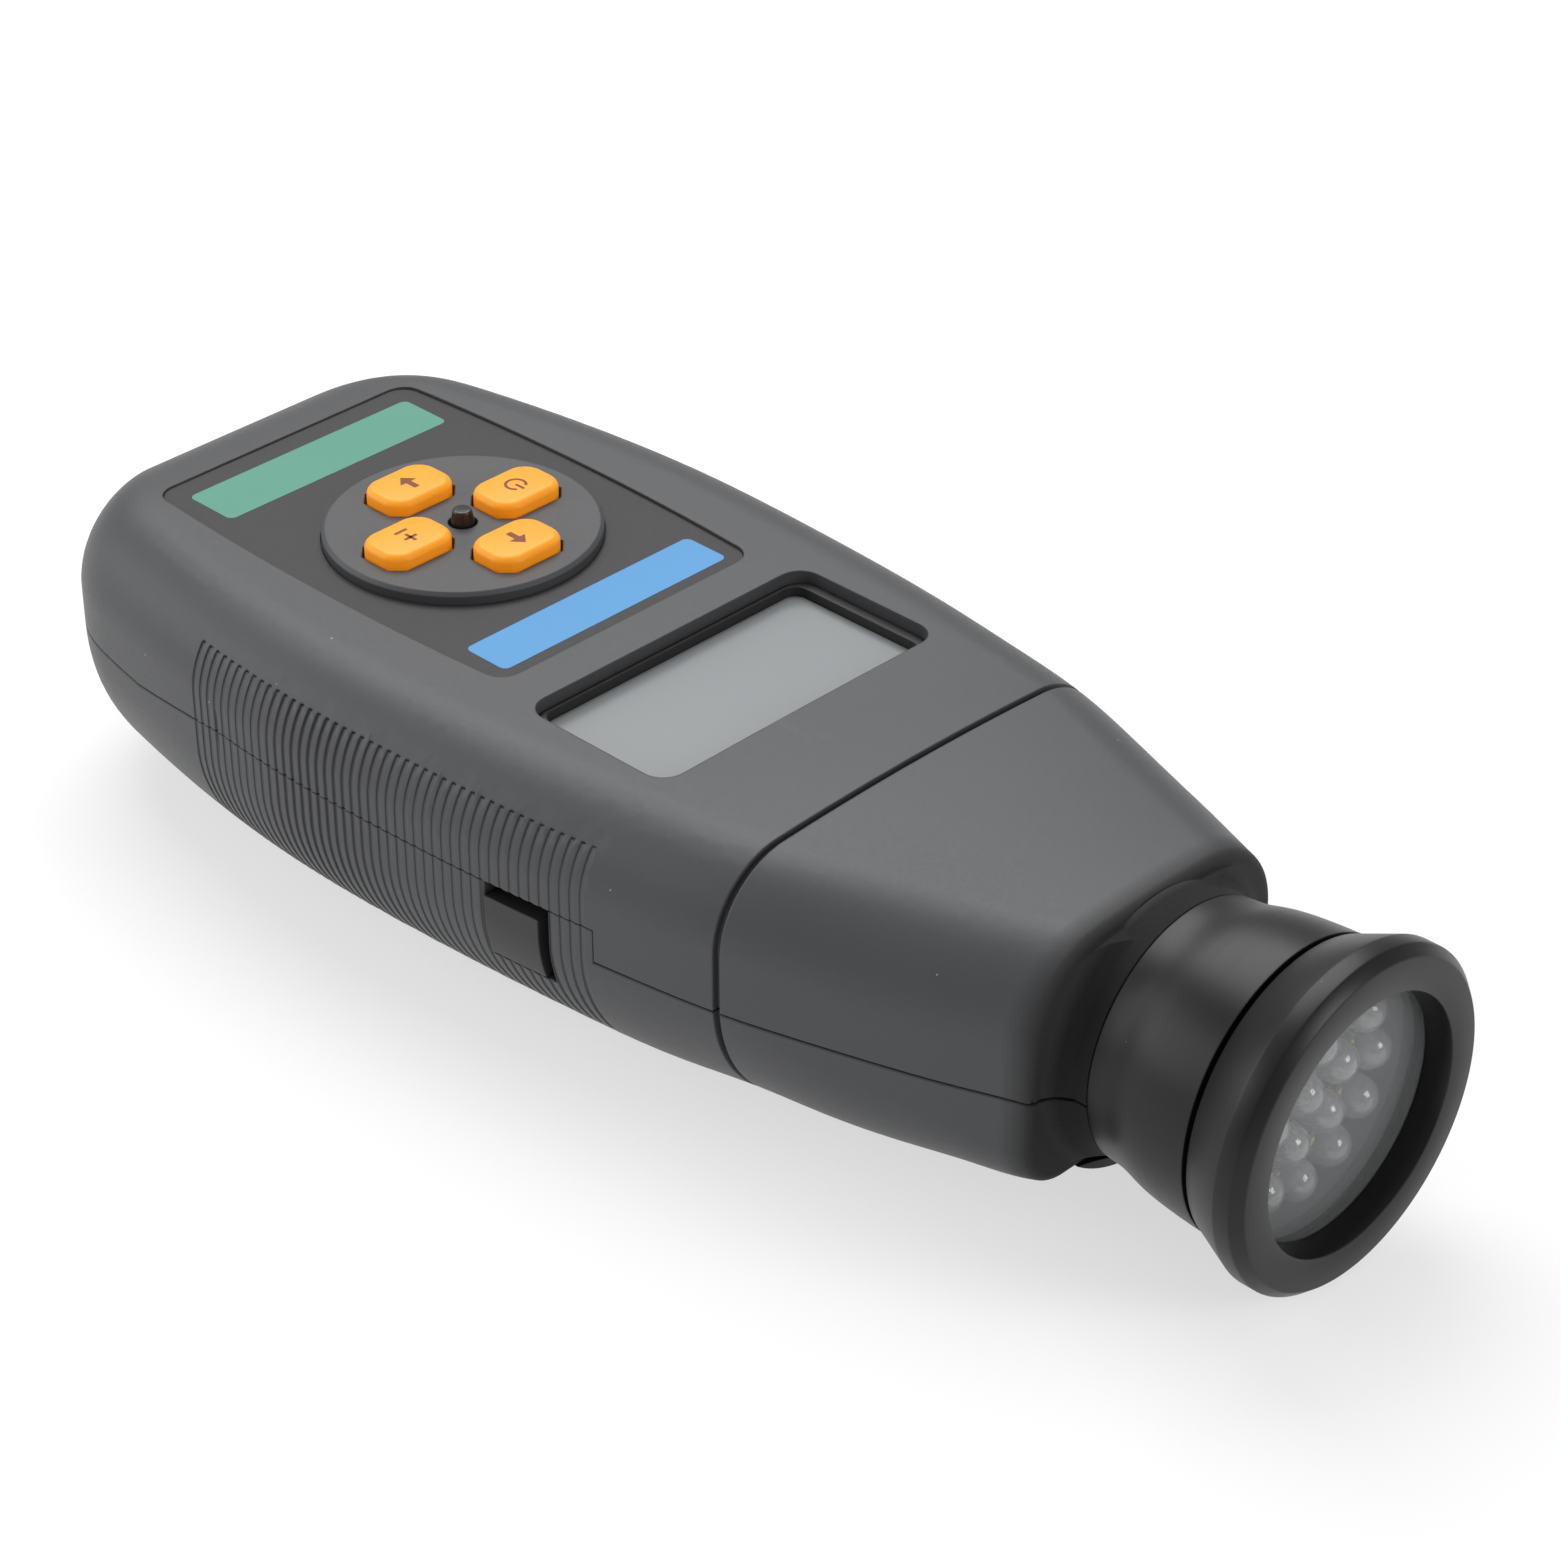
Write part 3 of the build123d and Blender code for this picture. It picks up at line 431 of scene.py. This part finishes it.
# %% [markdown]
# The inside is seldom seen, but it is there when the cover is off. Boards, cells, switches
# and screws get plain honest finishes from one helper, each with its own grain.

# %% Finishes of the inside
def plain_finish(name, colour, roughness, metallic=0.0, grain_mm=1.5):
    tint = srgb(colour)
    finish = Finish(name, tint, roughness, metallic)
    grain = finish.noise(grain_mm, 2.0)
    finish.set("Base Color", finish.shades(grain, tint, 0.1))
    finish.set("Roughness", finish.clamp((grain - 0.5) * 0.2 + roughness))
    finish.set("Normal", finish.bump(grain, 0.01, 0.3))
    return finish


inside_finishes = {
    "circuit_board": plain_finish("circuit_board", "1f6b45", 0.4),
    "chip_black": plain_finish("chip_black", "232324", 0.55, grain_mm=0.4),
    "capacitor_sleeve": plain_finish("capacitor_sleeve", "232a45", 0.3),
    "lead_sheath": plain_finish("lead_sheath", "1d1d1e", 0.5),
    "switch_body": plain_finish("switch_body", "2a2a2b", 0.5),
    "plunger_plastic": plain_finish("plunger_plastic", "b8ad94", 0.5),
    "cell_jacket": plain_finish("cell_jacket", "4a4f57", 0.3, grain_mm=4.0),
    "contact_metal": plain_finish("contact_metal", "c9c8c2", 0.25, 1.0),
    "screw_steel": plain_finish("screw_steel", "a9a9a6", 0.35, 1.0),
    "gasket_rubber": plain_finish("gasket_rubber", "1b1b1b", 0.7),
    "lcd_glass": plain_finish("lcd_glass", "8b948b", 0.25),
}
print("inside finishes", len(inside_finishes))

# %% [markdown]
# Every piece goes through the same few steps: a mesh is built or taken from a solid, its
# edges are rounded, it is shaded, and it gets its finish, its material slot and the body it
# rides on. Each step is one small helper here, so that the cells below stay short.

# %% Helpers for meshes
WELD = 0.4e-6


def body_of(node):
    return frame["nodes"][node]["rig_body"]


def finish_piece(piece, body, finish):
    """Colour a piece and let it ride."""
    piece.data.materials.clear()
    piece.data.materials.append(finish.material)
    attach(piece, body)


def new_piece(name, bm):
    """A mesh object at the origin from a finished bmesh."""
    mesh = bpy.data.meshes.new(name)
    bm.to_mesh(mesh)
    bm.free()
    piece = bpy.data.objects.new(name, mesh)
    bpy.context.scene.collection.objects.link(piece)
    return piece


def shade(bm, angle):
    """Smooth shading, with edges sharper than the angle kept sharp."""
    for face in bm.faces:
        face.smooth = True
    for edge in bm.edges:
        edge.smooth = len(edge.link_faces) == 2 and edge.calc_face_angle(0.0) < math.radians(angle)


def welded(node):
    """A solid's loose triangles as one bmesh, joined at their corners."""
    bm = bmesh.new()
    bm.from_mesh(frame["nodes"][node].data)
    bmesh.ops.remove_doubles(bm, verts=bm.verts, dist=WELD)
    return bm


def bevel(bm, geom, size_mm, segments, affect="EDGES", clamp=False):
    """Round edges, or a profile's corners, by this size in this many steps."""
    bmesh.ops.bevel(
        bm,
        geom=geom,
        offset=size_mm * MM,
        segments=segments,
        profile=0.5,
        affect=affect,
        material=-1,
        clamp_overlap=clamp,
    )


def size_of(piece):
    return tuple(round(v, 4) for v in piece.dimensions)


print("helpers for meshes are ready, and there are", len(frame["nodes"]), "solids")

# %% [markdown]
# The grip ribs are square grooves in the solids. A mould gives ribs with round crests that run
# out softly. So the grooves' walls are found by their place and direction, the floors between
# them are raised a little, and the crests are bevelled. A bevel can throw a point out where
# ribs meet the side key's window. Such points are pulled back to the solid's surface.

# %% Mend of the ribs
RIBS_FROM = place(38.6, 0, 0).x
RIBS_TO = place(104.4, 0, 0).x
RIBS_TOP = place(0, 0, 12.4).z
RIBS_BOTTOM = place(0, 0, -14.6).z
FLANK_AT = 24.0 * MM
SAME_HEIGHT = 0.02 * MM
STEEP = 0.8
RIB_WALL_AREA = 40.0 * MM ** 2
RIB_END_AREA = 0.6 * MM ** 2
RIB_LIFT = 0.33 * MM
RIB_RUNOUT = 0.55 * MM
RIB_STRAY = 0.02 * MM
RIB_ROUND_MM = 0.30
SMALLEST_EDGE = 0.002 * MM


def is_groove_wall(face):
    """True for the sides of a groove, and for the small wall that ends it."""
    middle = face.calc_center_median()
    if not RIBS_FROM < middle.x < RIBS_TO or abs(middle.y) <= FLANK_AT:
        return False
    side = abs(face.normal.x) > 0.9 and face.calc_area() < RIB_WALL_AREA
    at_end = min(abs(middle.z - RIBS_TOP), abs(middle.z - RIBS_BOTTOM)) < SAME_HEIGHT
    return side or (at_end and abs(face.normal.z) > 0.9 and face.calc_area() < RIB_END_AREA)


def soften_ribs(bm):
    """Round the ribs' crests, raise the floors between them and let the ends run out."""
    solid_surface = BVHTree.FromBMesh(bm)
    walls = [face for face in bm.faces if is_groove_wall(face)]
    steep = {edge for face in walls for edge in face.edges if len(edge.link_faces) == 2}
    floor_verts = {v for edge in steep if edge.calc_face_angle_signed(0.0) < -STEEP for v in edge.verts}
    for vert in floor_verts:
        outward = Vector((0, vert.co.y, 0)).normalized()
        vert.co += outward * RIB_LIFT
        if abs(vert.co.z - RIBS_TOP) < SAME_HEIGHT:
            vert.co.z -= RIB_RUNOUT
        elif abs(vert.co.z - RIBS_BOTTOM) < SAME_HEIGHT:
            vert.co.z += RIB_RUNOUT
    crests = [edge for edge in steep if edge.calc_face_angle_signed(0.0) > STEEP]
    bevel(bm, crests, RIB_ROUND_MM, segments=2, clamp=True)
    for vert in bm.verts:
        nearest, normal, _, distance = solid_surface.find_nearest(vert.co)
        if distance > RIB_STRAY and (vert.co - nearest).dot(normal) > 0:
            vert.co = nearest
    bmesh.ops.dissolve_degenerate(bm, dist=SMALLEST_EDGE, edges=bm.edges)
    print("rounded", len(crests), "crest edges, raised", len(floor_verts), "floor corners")


print("ribs run from", round(RIBS_FROM, 4), "to", round(RIBS_TO, 4), "along the housing")

# %% [markdown]
# Where two mouldings meet, their outer edges are never quite sharp, and the line between them
# reads as a fine dark groove. The same small chamfer does that here. It is left out between
# the ribs, which cross the line and already have round crests. The line isn't level, so its
# corners are listed as (station, height), and an edge is on it when it lies at that height.

# %% Mend of the parting line
PARTING_LINE = ((0.0, 0.1), (26.0, 0.1), (44.0, 2.45), (104.9, 2.45), (105.0, -1.85), (184.6, -1.85))
PARTING_REACH = 0.13 * MM
PARTING_STEEP = 0.9
PARTING_EASE_MM = 0.14
UNEASED_FROM = place(37.5, 0, 0).x
UNEASED_TO = place(105.4, 0, 0).x


def parting_height(x):
    """The frame's height of the parting line at a place along the housing."""
    station = x / MM + HALF_LENGTH
    for (s0, h0), (s1, h1) in zip(PARTING_LINE, PARTING_LINE[1:]):
        if station <= s1:
            height = h0 + (h1 - h0) * max(0.0, station - s0) / (s1 - s0)
            return place(0, 0, height).z
    return place(0, 0, h1).z


def ease_parting(bm):
    """Chamfer the shells' outer edges along the parting line, in front of and behind the ribs."""
    chosen = []
    for edge in bm.edges:
        if len(edge.link_faces) != 2 or edge.calc_face_angle_signed(0.0) < PARTING_STEEP:
            continue
        middle = (edge.verts[0].co + edge.verts[1].co) / 2
        if UNEASED_FROM < middle.x < UNEASED_TO:
            continue
        if abs(middle.z - parting_height(middle.x)) > PARTING_REACH:
            continue
        outer = [f for f in edge.link_faces if abs(f.normal.z) < 0.7]
        level = [f for f in edge.link_faces if abs(f.normal.z) > 0.95]
        if len(outer) == 1 and len(level) == 1 and outer[0].normal.xy.dot(middle.xy) > 0:
            chosen.append(edge)
    bevel(bm, chosen, PARTING_EASE_MM, segments=1)
    print("eased", len(chosen), "edges of the parting line")


print("the parting line has", len(PARTING_LINE) - 1, "straight runs")

# %% [markdown]
# The solids arrive as loose triangles. They are right in shape, but they would shade as
# facets. So a copy of each visible one is welded, and edges sharper than an angle are marked.
# The copy then shades smoothly on curves, stays crisp at corners, and stands for the solid.
# The weighted normals keep large flat faces flat up to their edges.

# %% Welded copies of the solids
def welded_skin(node, finish, mends=()):
    """A smoothly shaded copy of a solid, mended on the way."""
    bm = welded(node)
    for mend in mends:
        mend(bm)
    shade(bm, 28)
    piece = new_piece(node + "_skin", bm)
    weigh = piece.modifiers.new("weigh", "WEIGHTED_NORMAL")
    weigh.weight = 100
    weigh.keep_sharp = True
    finish_piece(piece, body_of(node), finish)
    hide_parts(node)
    return piece


shell_mends = {
    "upper_case": (soften_ribs, ease_parting),
    "lower_case": (soften_ribs, ease_parting),
    "nose_upper": (ease_parting,),
    "nose_lower": (ease_parting,),
    "battery_cover": (),
}
for node, mends in shell_mends.items():
    skin = welded_skin(node, case_plastic, mends=mends)
    print(skin.name, len(skin.data.polygons), "faces")

small_skins = {
    "side_key": (side_key_plastic, "side_key_black"),
    "display_frame": (frame_plastic, "frame_black"),
    "display_lens": (lens_grey, "lens_grey"),
    "face_label": (label_film, "label_film"),
    "centre_stem": (stem_black, "stem_black"),
    "lamp_glass": (lamp_glass, "lamp_glass"),
}
for node, (finish, slot) in small_skins.items():
    skin = welded_skin(node, finish)
    print(skin.name, size_of(skin))

# %% [markdown]
# The two bands on the label are printed. A print has almost no height, so each band is a
# thin plate with rounded corners that lies on the film. It starts as a cube that is scaled
# to size, and its four upright edges are bevelled.

# %% Printed bands
LABEL_TOP = 15.72
PRINT_HEIGHT = 0.03
BAND_CORNER_MM = 0.9


def rise_of(edge):
    """How far an edge climbs from one end to the other."""
    return abs(edge.verts[0].co.z - edge.verts[1].co.z)


def printed_band(name, station, length, width):
    """A thin plate with round corners that lies on the label's film."""
    bm = bmesh.new()
    bmesh.ops.create_cube(bm, size=1.0)
    bmesh.ops.scale(bm, verts=bm.verts, vec=(length * MM, width * MM, PRINT_HEIGHT * MM))
    upright = [e for e in bm.edges if rise_of(e) > PRINT_HEIGHT * MM / 2]
    bevel(bm, upright, BAND_CORNER_MM, segments=6)
    bmesh.ops.translate(bm, verts=bm.verts, vec=place(station, 0, LABEL_TOP + PRINT_HEIGHT / 2))
    bmesh.ops.recalc_face_normals(bm, faces=bm.faces)
    shade(bm, 40)
    return new_piece(name, bm)


bands = {
    "green_band": (21.0, 8.0, 35.0, band_green),
    "blue_band": (70.9, 6.8, 35.8, band_blue),
}
for name, (station, length, width, finish) in bands.items():
    band = printed_band(name, station, length, width)
    finish_piece(band, "housing", finish)
    print(name, size_of(band))

# %% [markdown]
# A real key cap has round corners and soft moulded edges. The welded copy of each key is
# cleaned into single flat faces first, because a bevel needs clean corners. Then the cut
# corners are turned into round ones, and last the edges round the top are softened.

# %% Key caps
CAP_CORNER_MM = 0.85
CAP_EDGE_MM = 0.28
CAP_FOOT = place(0, 0, 13.9).z
CAP_SHOULDER = place(0, 0, 14.6).z
CAP_RISE = 0.3 * MM
CAP_SHARP = math.radians(25)
CAP_FLAT = math.radians(1)


def sharp_edges(bm, lowest):
    """The sharp edges that lie wholly above a height."""
    above = [e for e in bm.edges if min(v.co.z for v in e.verts) > lowest]
    return [e for e in above if e.calc_face_angle(0.0) > CAP_SHARP]


def key_cap(node):
    """A copy of a key with round corners and soft edges."""
    bm = welded(node)
    bmesh.ops.dissolve_limit(
        bm, angle_limit=CAP_FLAT, verts=bm.verts, edges=bm.edges, use_dissolve_boundaries=False
    )
    corners = [e for e in sharp_edges(bm, CAP_FOOT) if rise_of(e) > CAP_RISE]
    bevel(bm, corners, CAP_CORNER_MM, segments=4, clamp=True)
    bevel(bm, sharp_edges(bm, CAP_SHOULDER), CAP_EDGE_MM, segments=3, clamp=True)
    bmesh.ops.recalc_face_normals(bm, faces=bm.faces)
    shade(bm, 35)
    piece = new_piece(node + "_cap", bm)
    finish_piece(piece, body_of(node), key_orange)
    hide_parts(node)
    return piece


for node in ("key_up", "key_down", "key_power", "key_fine"):
    cap = key_cap(node)
    print(cap.name, len(cap.data.polygons), "faces")

# %% [markdown]
# Every key carries a small printed mark: arrows for up and down, the on-off sign, and plus
# over minus for the fine steps. A mark's flat outline is drawn with its top towards the
# lamp, filled as one face, and pulled up by the print's height. It rides with its key.

# %% Marks on the keys
KEY_TOP = 18.9
MARK_SINK = 0.01
MARK_STROKE = 0.42
RING_RADIUS = 1.25
RING_STROKE = 0.38
RING_STEPS = 20


def mark_face(bm, points, station, y):
    """A flat outline of (up, right) points in millimetres, raised to a print."""
    low = [bm.verts.new(place(station + up, y - right, KEY_TOP - MARK_SINK)) for up, right in points]
    made = bmesh.ops.extrude_face_region(bm, geom=[bm.faces.new(low)])["geom"]
    high = [v for v in made if isinstance(v, bmesh.types.BMVert)]
    bmesh.ops.translate(bm, verts=high, vec=(0, 0, PRINT_HEIGHT * MM))


def bar(up, right, height, width):
    """A rectangle's corners about a middle."""
    return [(up + a * height / 2, right + b * width / 2) for a, b in ((-1, -1), (-1, 1), (1, 1), (1, -1))]


def arrow(sign):
    """An arrow's outline that points up, or down for a sign of -1."""
    points = [(-1.5, -0.4), (-1.5, 0.4), (0.1, 0.4), (0.1, 1.25), (1.6, 0.0), (0.1, -1.25), (0.1, -0.4)]
    return [(sign * up, right) for up, right in points]


def arc(radius, angles):
    return [(radius * math.cos(a), radius * math.sin(a)) for a in angles]


def broken_ring(open_angle):
    """A ring that is open at its top, as on an on-off sign."""
    first = math.radians(open_angle / 2)
    angles = [first + (2 * math.pi - 2 * first) * i / RING_STEPS for i in range(RING_STEPS + 1)]
    outer = arc(RING_RADIUS + RING_STROKE / 2, angles)
    inner = arc(RING_RADIUS - RING_STROKE / 2, reversed(angles))
    return outer + inner


plus_over_minus = [
    bar(0.55, 0, 1.9, MARK_STROKE),
    bar(0.55, 0, MARK_STROKE, 1.9),
    bar(-1.25, 0, MARK_STROKE, 1.9),
]
marks = {
    "key_up": (57.0, 0.0, [arrow(1)]),
    "key_down": (37.8, 0.0, [arrow(-1)]),
    "key_power": (47.4, 8.7, [broken_ring(70), bar(0.75, 0, 1.5, RING_STROKE)]),
    "key_fine": (47.4, -8.7, plus_over_minus),
}
for node, (station, y, outlines) in marks.items():
    mark_bm = bmesh.new()
    for outline in outlines:
        mark_face(mark_bm, outline, station, y)
    bmesh.ops.recalc_face_normals(mark_bm, faces=mark_bm.faces)
    mark = new_piece(node + "_mark", mark_bm)
    finish_piece(mark, body_of(node), key_print)
print("marks on", len(marks), "keys")

# %% [markdown]
# The lamp's neck and bezel are turned pieces, so they are made as on a lathe: a profile is
# spun round the axis. The solids already have the profile. Here it is spun finely, with
# small radii at its corners, so that the highlights run round it without facets.

# %% Bezel
LATHE_STEPS = 160
LATHE_WELD = 1e-6
BEZEL_EDGE_MM = 0.12


def turn(name, profile, radius_mm=0.0, steps=LATHE_STEPS, closed=True):
    """Spin a profile of (station, radius) points and round its corners."""
    bm = bmesh.new()
    ring = [bm.verts.new(place(s, 0, r)) for s, r in profile]
    for a, b in zip(ring, ring[1:]):
        bm.edges.new((a, b))
    if closed:
        bm.edges.new((ring[-1], ring[0]))
    if radius_mm:
        bevel(bm, ring, radius_mm, segments=2, affect="VERTICES")
    bmesh.ops.spin(
        bm,
        geom=bm.verts[:] + bm.edges[:],
        cent=place(0, 0, 0),
        axis=(1, 0, 0),
        dvec=(0, 0, 0),
        angle=math.radians(360),
        steps=steps,
        use_merge=True,
        use_duplicate=False,
    )
    bmesh.ops.remove_doubles(bm, verts=bm.verts, dist=LATHE_WELD)
    bmesh.ops.recalc_face_normals(bm, faces=bm.faces)
    shade(bm, 30)
    return new_piece(name, bm)


bezel_profile = [
    (175.9, 17.9), (181.3, 20.25), (183.4, 20.25), (184.6, 19.15),
    (184.6, 15.3), (181.3, 14.8), (181.3, 16.82), (175.9, 16.82),
]
bezel = turn("bezel_ring", bezel_profile, BEZEL_EDGE_MM)
finish_piece(bezel, body_of("lamp_bezel"), lamp_black)
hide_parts("lamp_bezel")
print("bezel", size_of(bezel))

# %% [markdown]
# The neck is a soft bell. Its outer line runs through five measured points as a smooth curve
# that passes each point in the direction of its neighbours, and the rest of its profile is
# plain: the seat of the glass, the tube behind it and the foot in the nose.

# %% Lamp neck
BELL = ((160.75, 15.75), (163.6, 16.05), (167.2, 16.95), (171.0, 17.45), (175.2, 17.75))
BELL_POINTS = 25


def between(a, b, c, d, t):
    """A value from b to c on the smooth curve that comes from a and goes on to d."""
    squared = (2 * a - 5 * b + 4 * c - d) * t * t
    cubed = (3 * b - a - 3 * c + d) * t ** 3
    return 0.5 * (2 * b + (c - a) * t + squared + cubed)


def bell_points():
    """The neck's outer curve, through the measured points."""
    last = len(BELL) - 1
    points = []
    for i in range(BELL_POINTS):
        along = i / (BELL_POINTS - 1) * last
        k = min(int(along), last - 1)
        around = [BELL[max(k - 1, 0)], BELL[k], BELL[k + 1], BELL[min(k + 2, last)]]
        points.append(tuple(between(*values, along - k) for values in zip(*around)))
    return points


neck_inside = [
    (175.2, 16.7), (178.5, 16.7), (178.5, 15.4), (168.9, 15.4), (168.9, 12.0), (163.5, 12.0), (163.5, 4.0),
    (150.5, 4.0), (150.5, 12.6), (152.3, 12.6), (152.3, 11.4), (160.75, 11.4),
]
neck = turn("neck_bell", bell_points() + neck_inside)
finish_piece(neck, body_of("lamp_neck"), lamp_black)
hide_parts("lamp_neck")
print("neck", size_of(neck))

# %% [markdown]
# A clear lamp is a turned body with a round dome. All nineteen are alike, so one is spun on
# the axis here, with fewer steps than the rings because it is small, and copied later.

# %% Body of a clear lamp
LED_SEAT = 170.5
LED_RADIUS = 2.5
LED_LENGTH = 8.6
LED_STEPS = 28
DOME_AT = LED_SEAT + LED_LENGTH - LED_RADIUS
DOME_STEPS = 9

lamp_profile = [(LED_SEAT, 0), (LED_SEAT, LED_RADIUS)]
for i in range(DOME_STEPS):
    lean = math.radians(90 * i / (DOME_STEPS - 1))
    lamp_profile.append((DOME_AT + LED_RADIUS * math.sin(lean), LED_RADIUS * math.cos(lean)))
one_lamp = turn("one_lamp", lamp_profile, steps=LED_STEPS, closed=False)
print("one clear lamp", size_of(one_lamp))

# %% [markdown]
# A clear lamp shows its inside: two flat steel posts, the wider one with a small cup that
# holds a yellow die. They make a switched-off lamp look like one. They are plain boxes, a
# cone and a flattened ball, because the dome blurs them.

# %% Inside of a clear lamp
POSTS = ((-0.75, 1.1, 3.6), (0.85, 0.6, 3.9))
POST_THICKNESS = 0.5
POST_FOOT = LED_SEAT + 0.1
CUP_SIDE = -0.55
CUP_MIDDLE = LED_SEAT + 4.1
CUP_FOOT_RADIUS = 0.35
CUP_RIM_RADIUS = 0.8
CUP_DEPTH = 0.8
DIE_MIDDLE = LED_SEAT + 4.75
DIE_RADIUS = 0.42


def add_metalwork(bm, y, z):
    """Two posts of (side, width, length) and a cup, on the board inside one lamp."""
    for side, width, length in POSTS:
        post = bmesh.ops.create_cube(bm, size=1.0)["verts"]
        bmesh.ops.scale(bm, verts=post, vec=(length * MM, width * MM, POST_THICKNESS * MM))
        bmesh.ops.translate(bm, verts=post, vec=place(POST_FOOT + length / 2, y + side, z))
    cup = bmesh.ops.create_cone(
        bm,
        cap_ends=True,
        cap_tris=False,
        segments=12,
        radius1=CUP_FOOT_RADIUS * MM,
        radius2=CUP_RIM_RADIUS * MM,
        depth=CUP_DEPTH * MM,
    )["verts"]
    bmesh.ops.rotate(bm, verts=cup, cent=(0, 0, 0), matrix=Matrix.Rotation(math.radians(90), 3, "Y"))
    bmesh.ops.translate(bm, verts=cup, vec=place(CUP_MIDDLE, y + CUP_SIDE, z))


def add_die(bm, y, z):
    """The drop of yellow resin over the chip in the cup."""
    die = bmesh.ops.create_icosphere(bm, subdivisions=1, radius=DIE_RADIUS * MM)["verts"]
    bmesh.ops.scale(bm, verts=die, vec=(0.5, 1, 1))
    bmesh.ops.translate(bm, verts=die, vec=place(DIE_MIDDLE, y + CUP_SIDE, z))


print("the die sits", round(DIE_MIDDLE - LED_SEAT, 2), "mm above the board")

# %% [markdown]
# The lamps stand on a board in two rings round a middle one. Nineteen copies are gathered in
# one mesh, and so are their posts and their dies, because each kind has one finish and stands
# for one solid or for none.

# %% The nineteen lamps
LED_RINGS = ((6, 5.85, 12.0), (12, 11.4, 0.0))


def led_places():
    """One lamp in the middle, and a ring for each (count, radius, first angle)."""
    places = [(0.0, 0.0)]
    for count, radius, first in LED_RINGS:
        places += arc(radius, [math.radians(first + i * 360 / count) for i in range(count)])
    return places


def add_lamp(bm, y, z):
    """One more copy of the turned lamp, moved to its place."""
    before = len(bm.verts)
    bm.from_mesh(one_lamp.data)
    bm.verts.ensure_lookup_table()
    bmesh.ops.translate(bm, verts=bm.verts[before:], vec=(0, y * MM, z * MM))


lamps_bm = bmesh.new()
metal_bm = bmesh.new()
die_bm = bmesh.new()
for y, z in led_places():
    add_lamp(lamps_bm, y, z)
    add_metalwork(metal_bm, y, z)
    add_die(die_bm, y, z)
bmesh.ops.recalc_face_normals(metal_bm, faces=metal_bm.faces)
metalwork = new_piece("led_metalwork", metal_bm)
finish_piece(metalwork, "housing", led_metal)
dies = new_piece("led_dies", die_bm)
finish_piece(dies, "housing", led_die)
lamps = new_piece("clear_lamps", lamps_bm)
finish_piece(lamps, "housing", led_clear)
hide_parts("leds")
bpy.data.objects.remove(one_lamp)
print("clear lamps", len(led_places()), "with", len(lamps.data.polygons), "faces")

# %% [markdown]
# The remaining solids keep their own meshes and only get their finishes. A solid's material
# slot is set on its object, so its mesh data stays untouched.

# %% Finishes of the remaining solids
inner_finish = {
    entry["node"]: inside_finishes[entry["material_slot"]]
    for entry in frame["record"]["subparts"]
    if entry["material_slot"] in inside_finishes
}
inner_finish["reflector_tube"] = inner_black
inner_finish["led_board"] = inner_black
for node, finish in inner_finish.items():
    for slot in frame["nodes"][node].material_slots:
        slot.link = "OBJECT"
        slot.material = finish.material
print("dressed", len(inner_finish), "inner solids")

# %% [markdown]
# The studio is a white light table. Its top glows a little, so that it renders white without
# strong lamps and the object's shadow stays faint. It is only a stage for the picture, and
# it is no part of the object.

# %% Floor
WHITE = (1.0, 1.0, 1.0, 1.0)
FLOOR_TINT = (0.34, 0.34, 0.34)
FLOOR_GLOW = 0.62
FLOOR_HALF = 6.0
FLOOR_GAP = 0.3 * MM

floor_bm = bmesh.new()
bmesh.ops.create_grid(floor_bm, x_segments=1, y_segments=1, size=FLOOR_HALF)
bmesh.ops.translate(floor_bm, verts=floor_bm.verts, vec=(0, 0, -FLOOR_GAP))
floor = new_piece("floor", floor_bm)
floor_paint = Finish("floor_paint", FLOOR_TINT, 0.9)
floor_paint.set("Emission Color", WHITE)
floor_paint.set("Emission Strength", FLOOR_GLOW)
floor.data.materials.append(floor_paint.material)
print("floor", size_of(floor))

# %% [markdown]
# The light is soft. One large lamp above gives the broad light on the face, a second one at
# the camera's left draws the highlights on the neck, and a small one in front lights the
# clear lamps through their glass. The world fills the rest evenly.

# %% Light
SKY_STRENGTH = 0.40

world = bpy.data.worlds.new("world")
world.use_nodes = True
bpy.context.scene.world = world
sky = world.node_tree.nodes["Background"]
sky.inputs["Color"].default_value = WHITE
sky.inputs["Strength"].default_value = SKY_STRENGTH


def soft_lamp(name, at, aim, size, watts):
    """A rectangular area light that looks from one point to another."""
    data = bpy.data.lights.new(name, "AREA")
    data.shape = "RECTANGLE"
    data.size, data.size_y = size
    data.energy = watts
    lamp = bpy.data.objects.new(name, data)
    lamp.location = at
    lamp.rotation_euler = (Vector(aim) - Vector(at)).to_track_quat("-Z", "Y").to_euler()
    bpy.context.scene.collection.objects.link(lamp)
    print(name, watts, "W")


soft_lamp("top_lamp", at=(-0.45, 0.30, 0.84), aim=(0, 0, 0), size=(0.8, 0.8), watts=8.8)
soft_lamp("left_lamp", at=(-0.72, -0.56, 0.38), aim=(0, 0, 0.02), size=(0.8, 0.6), watts=3.5)
soft_lamp("front_lamp", at=(0.62, 0.14, 0.32), aim=(0.08, 0, 0.02), size=(0.26, 0.26), watts=1.4)
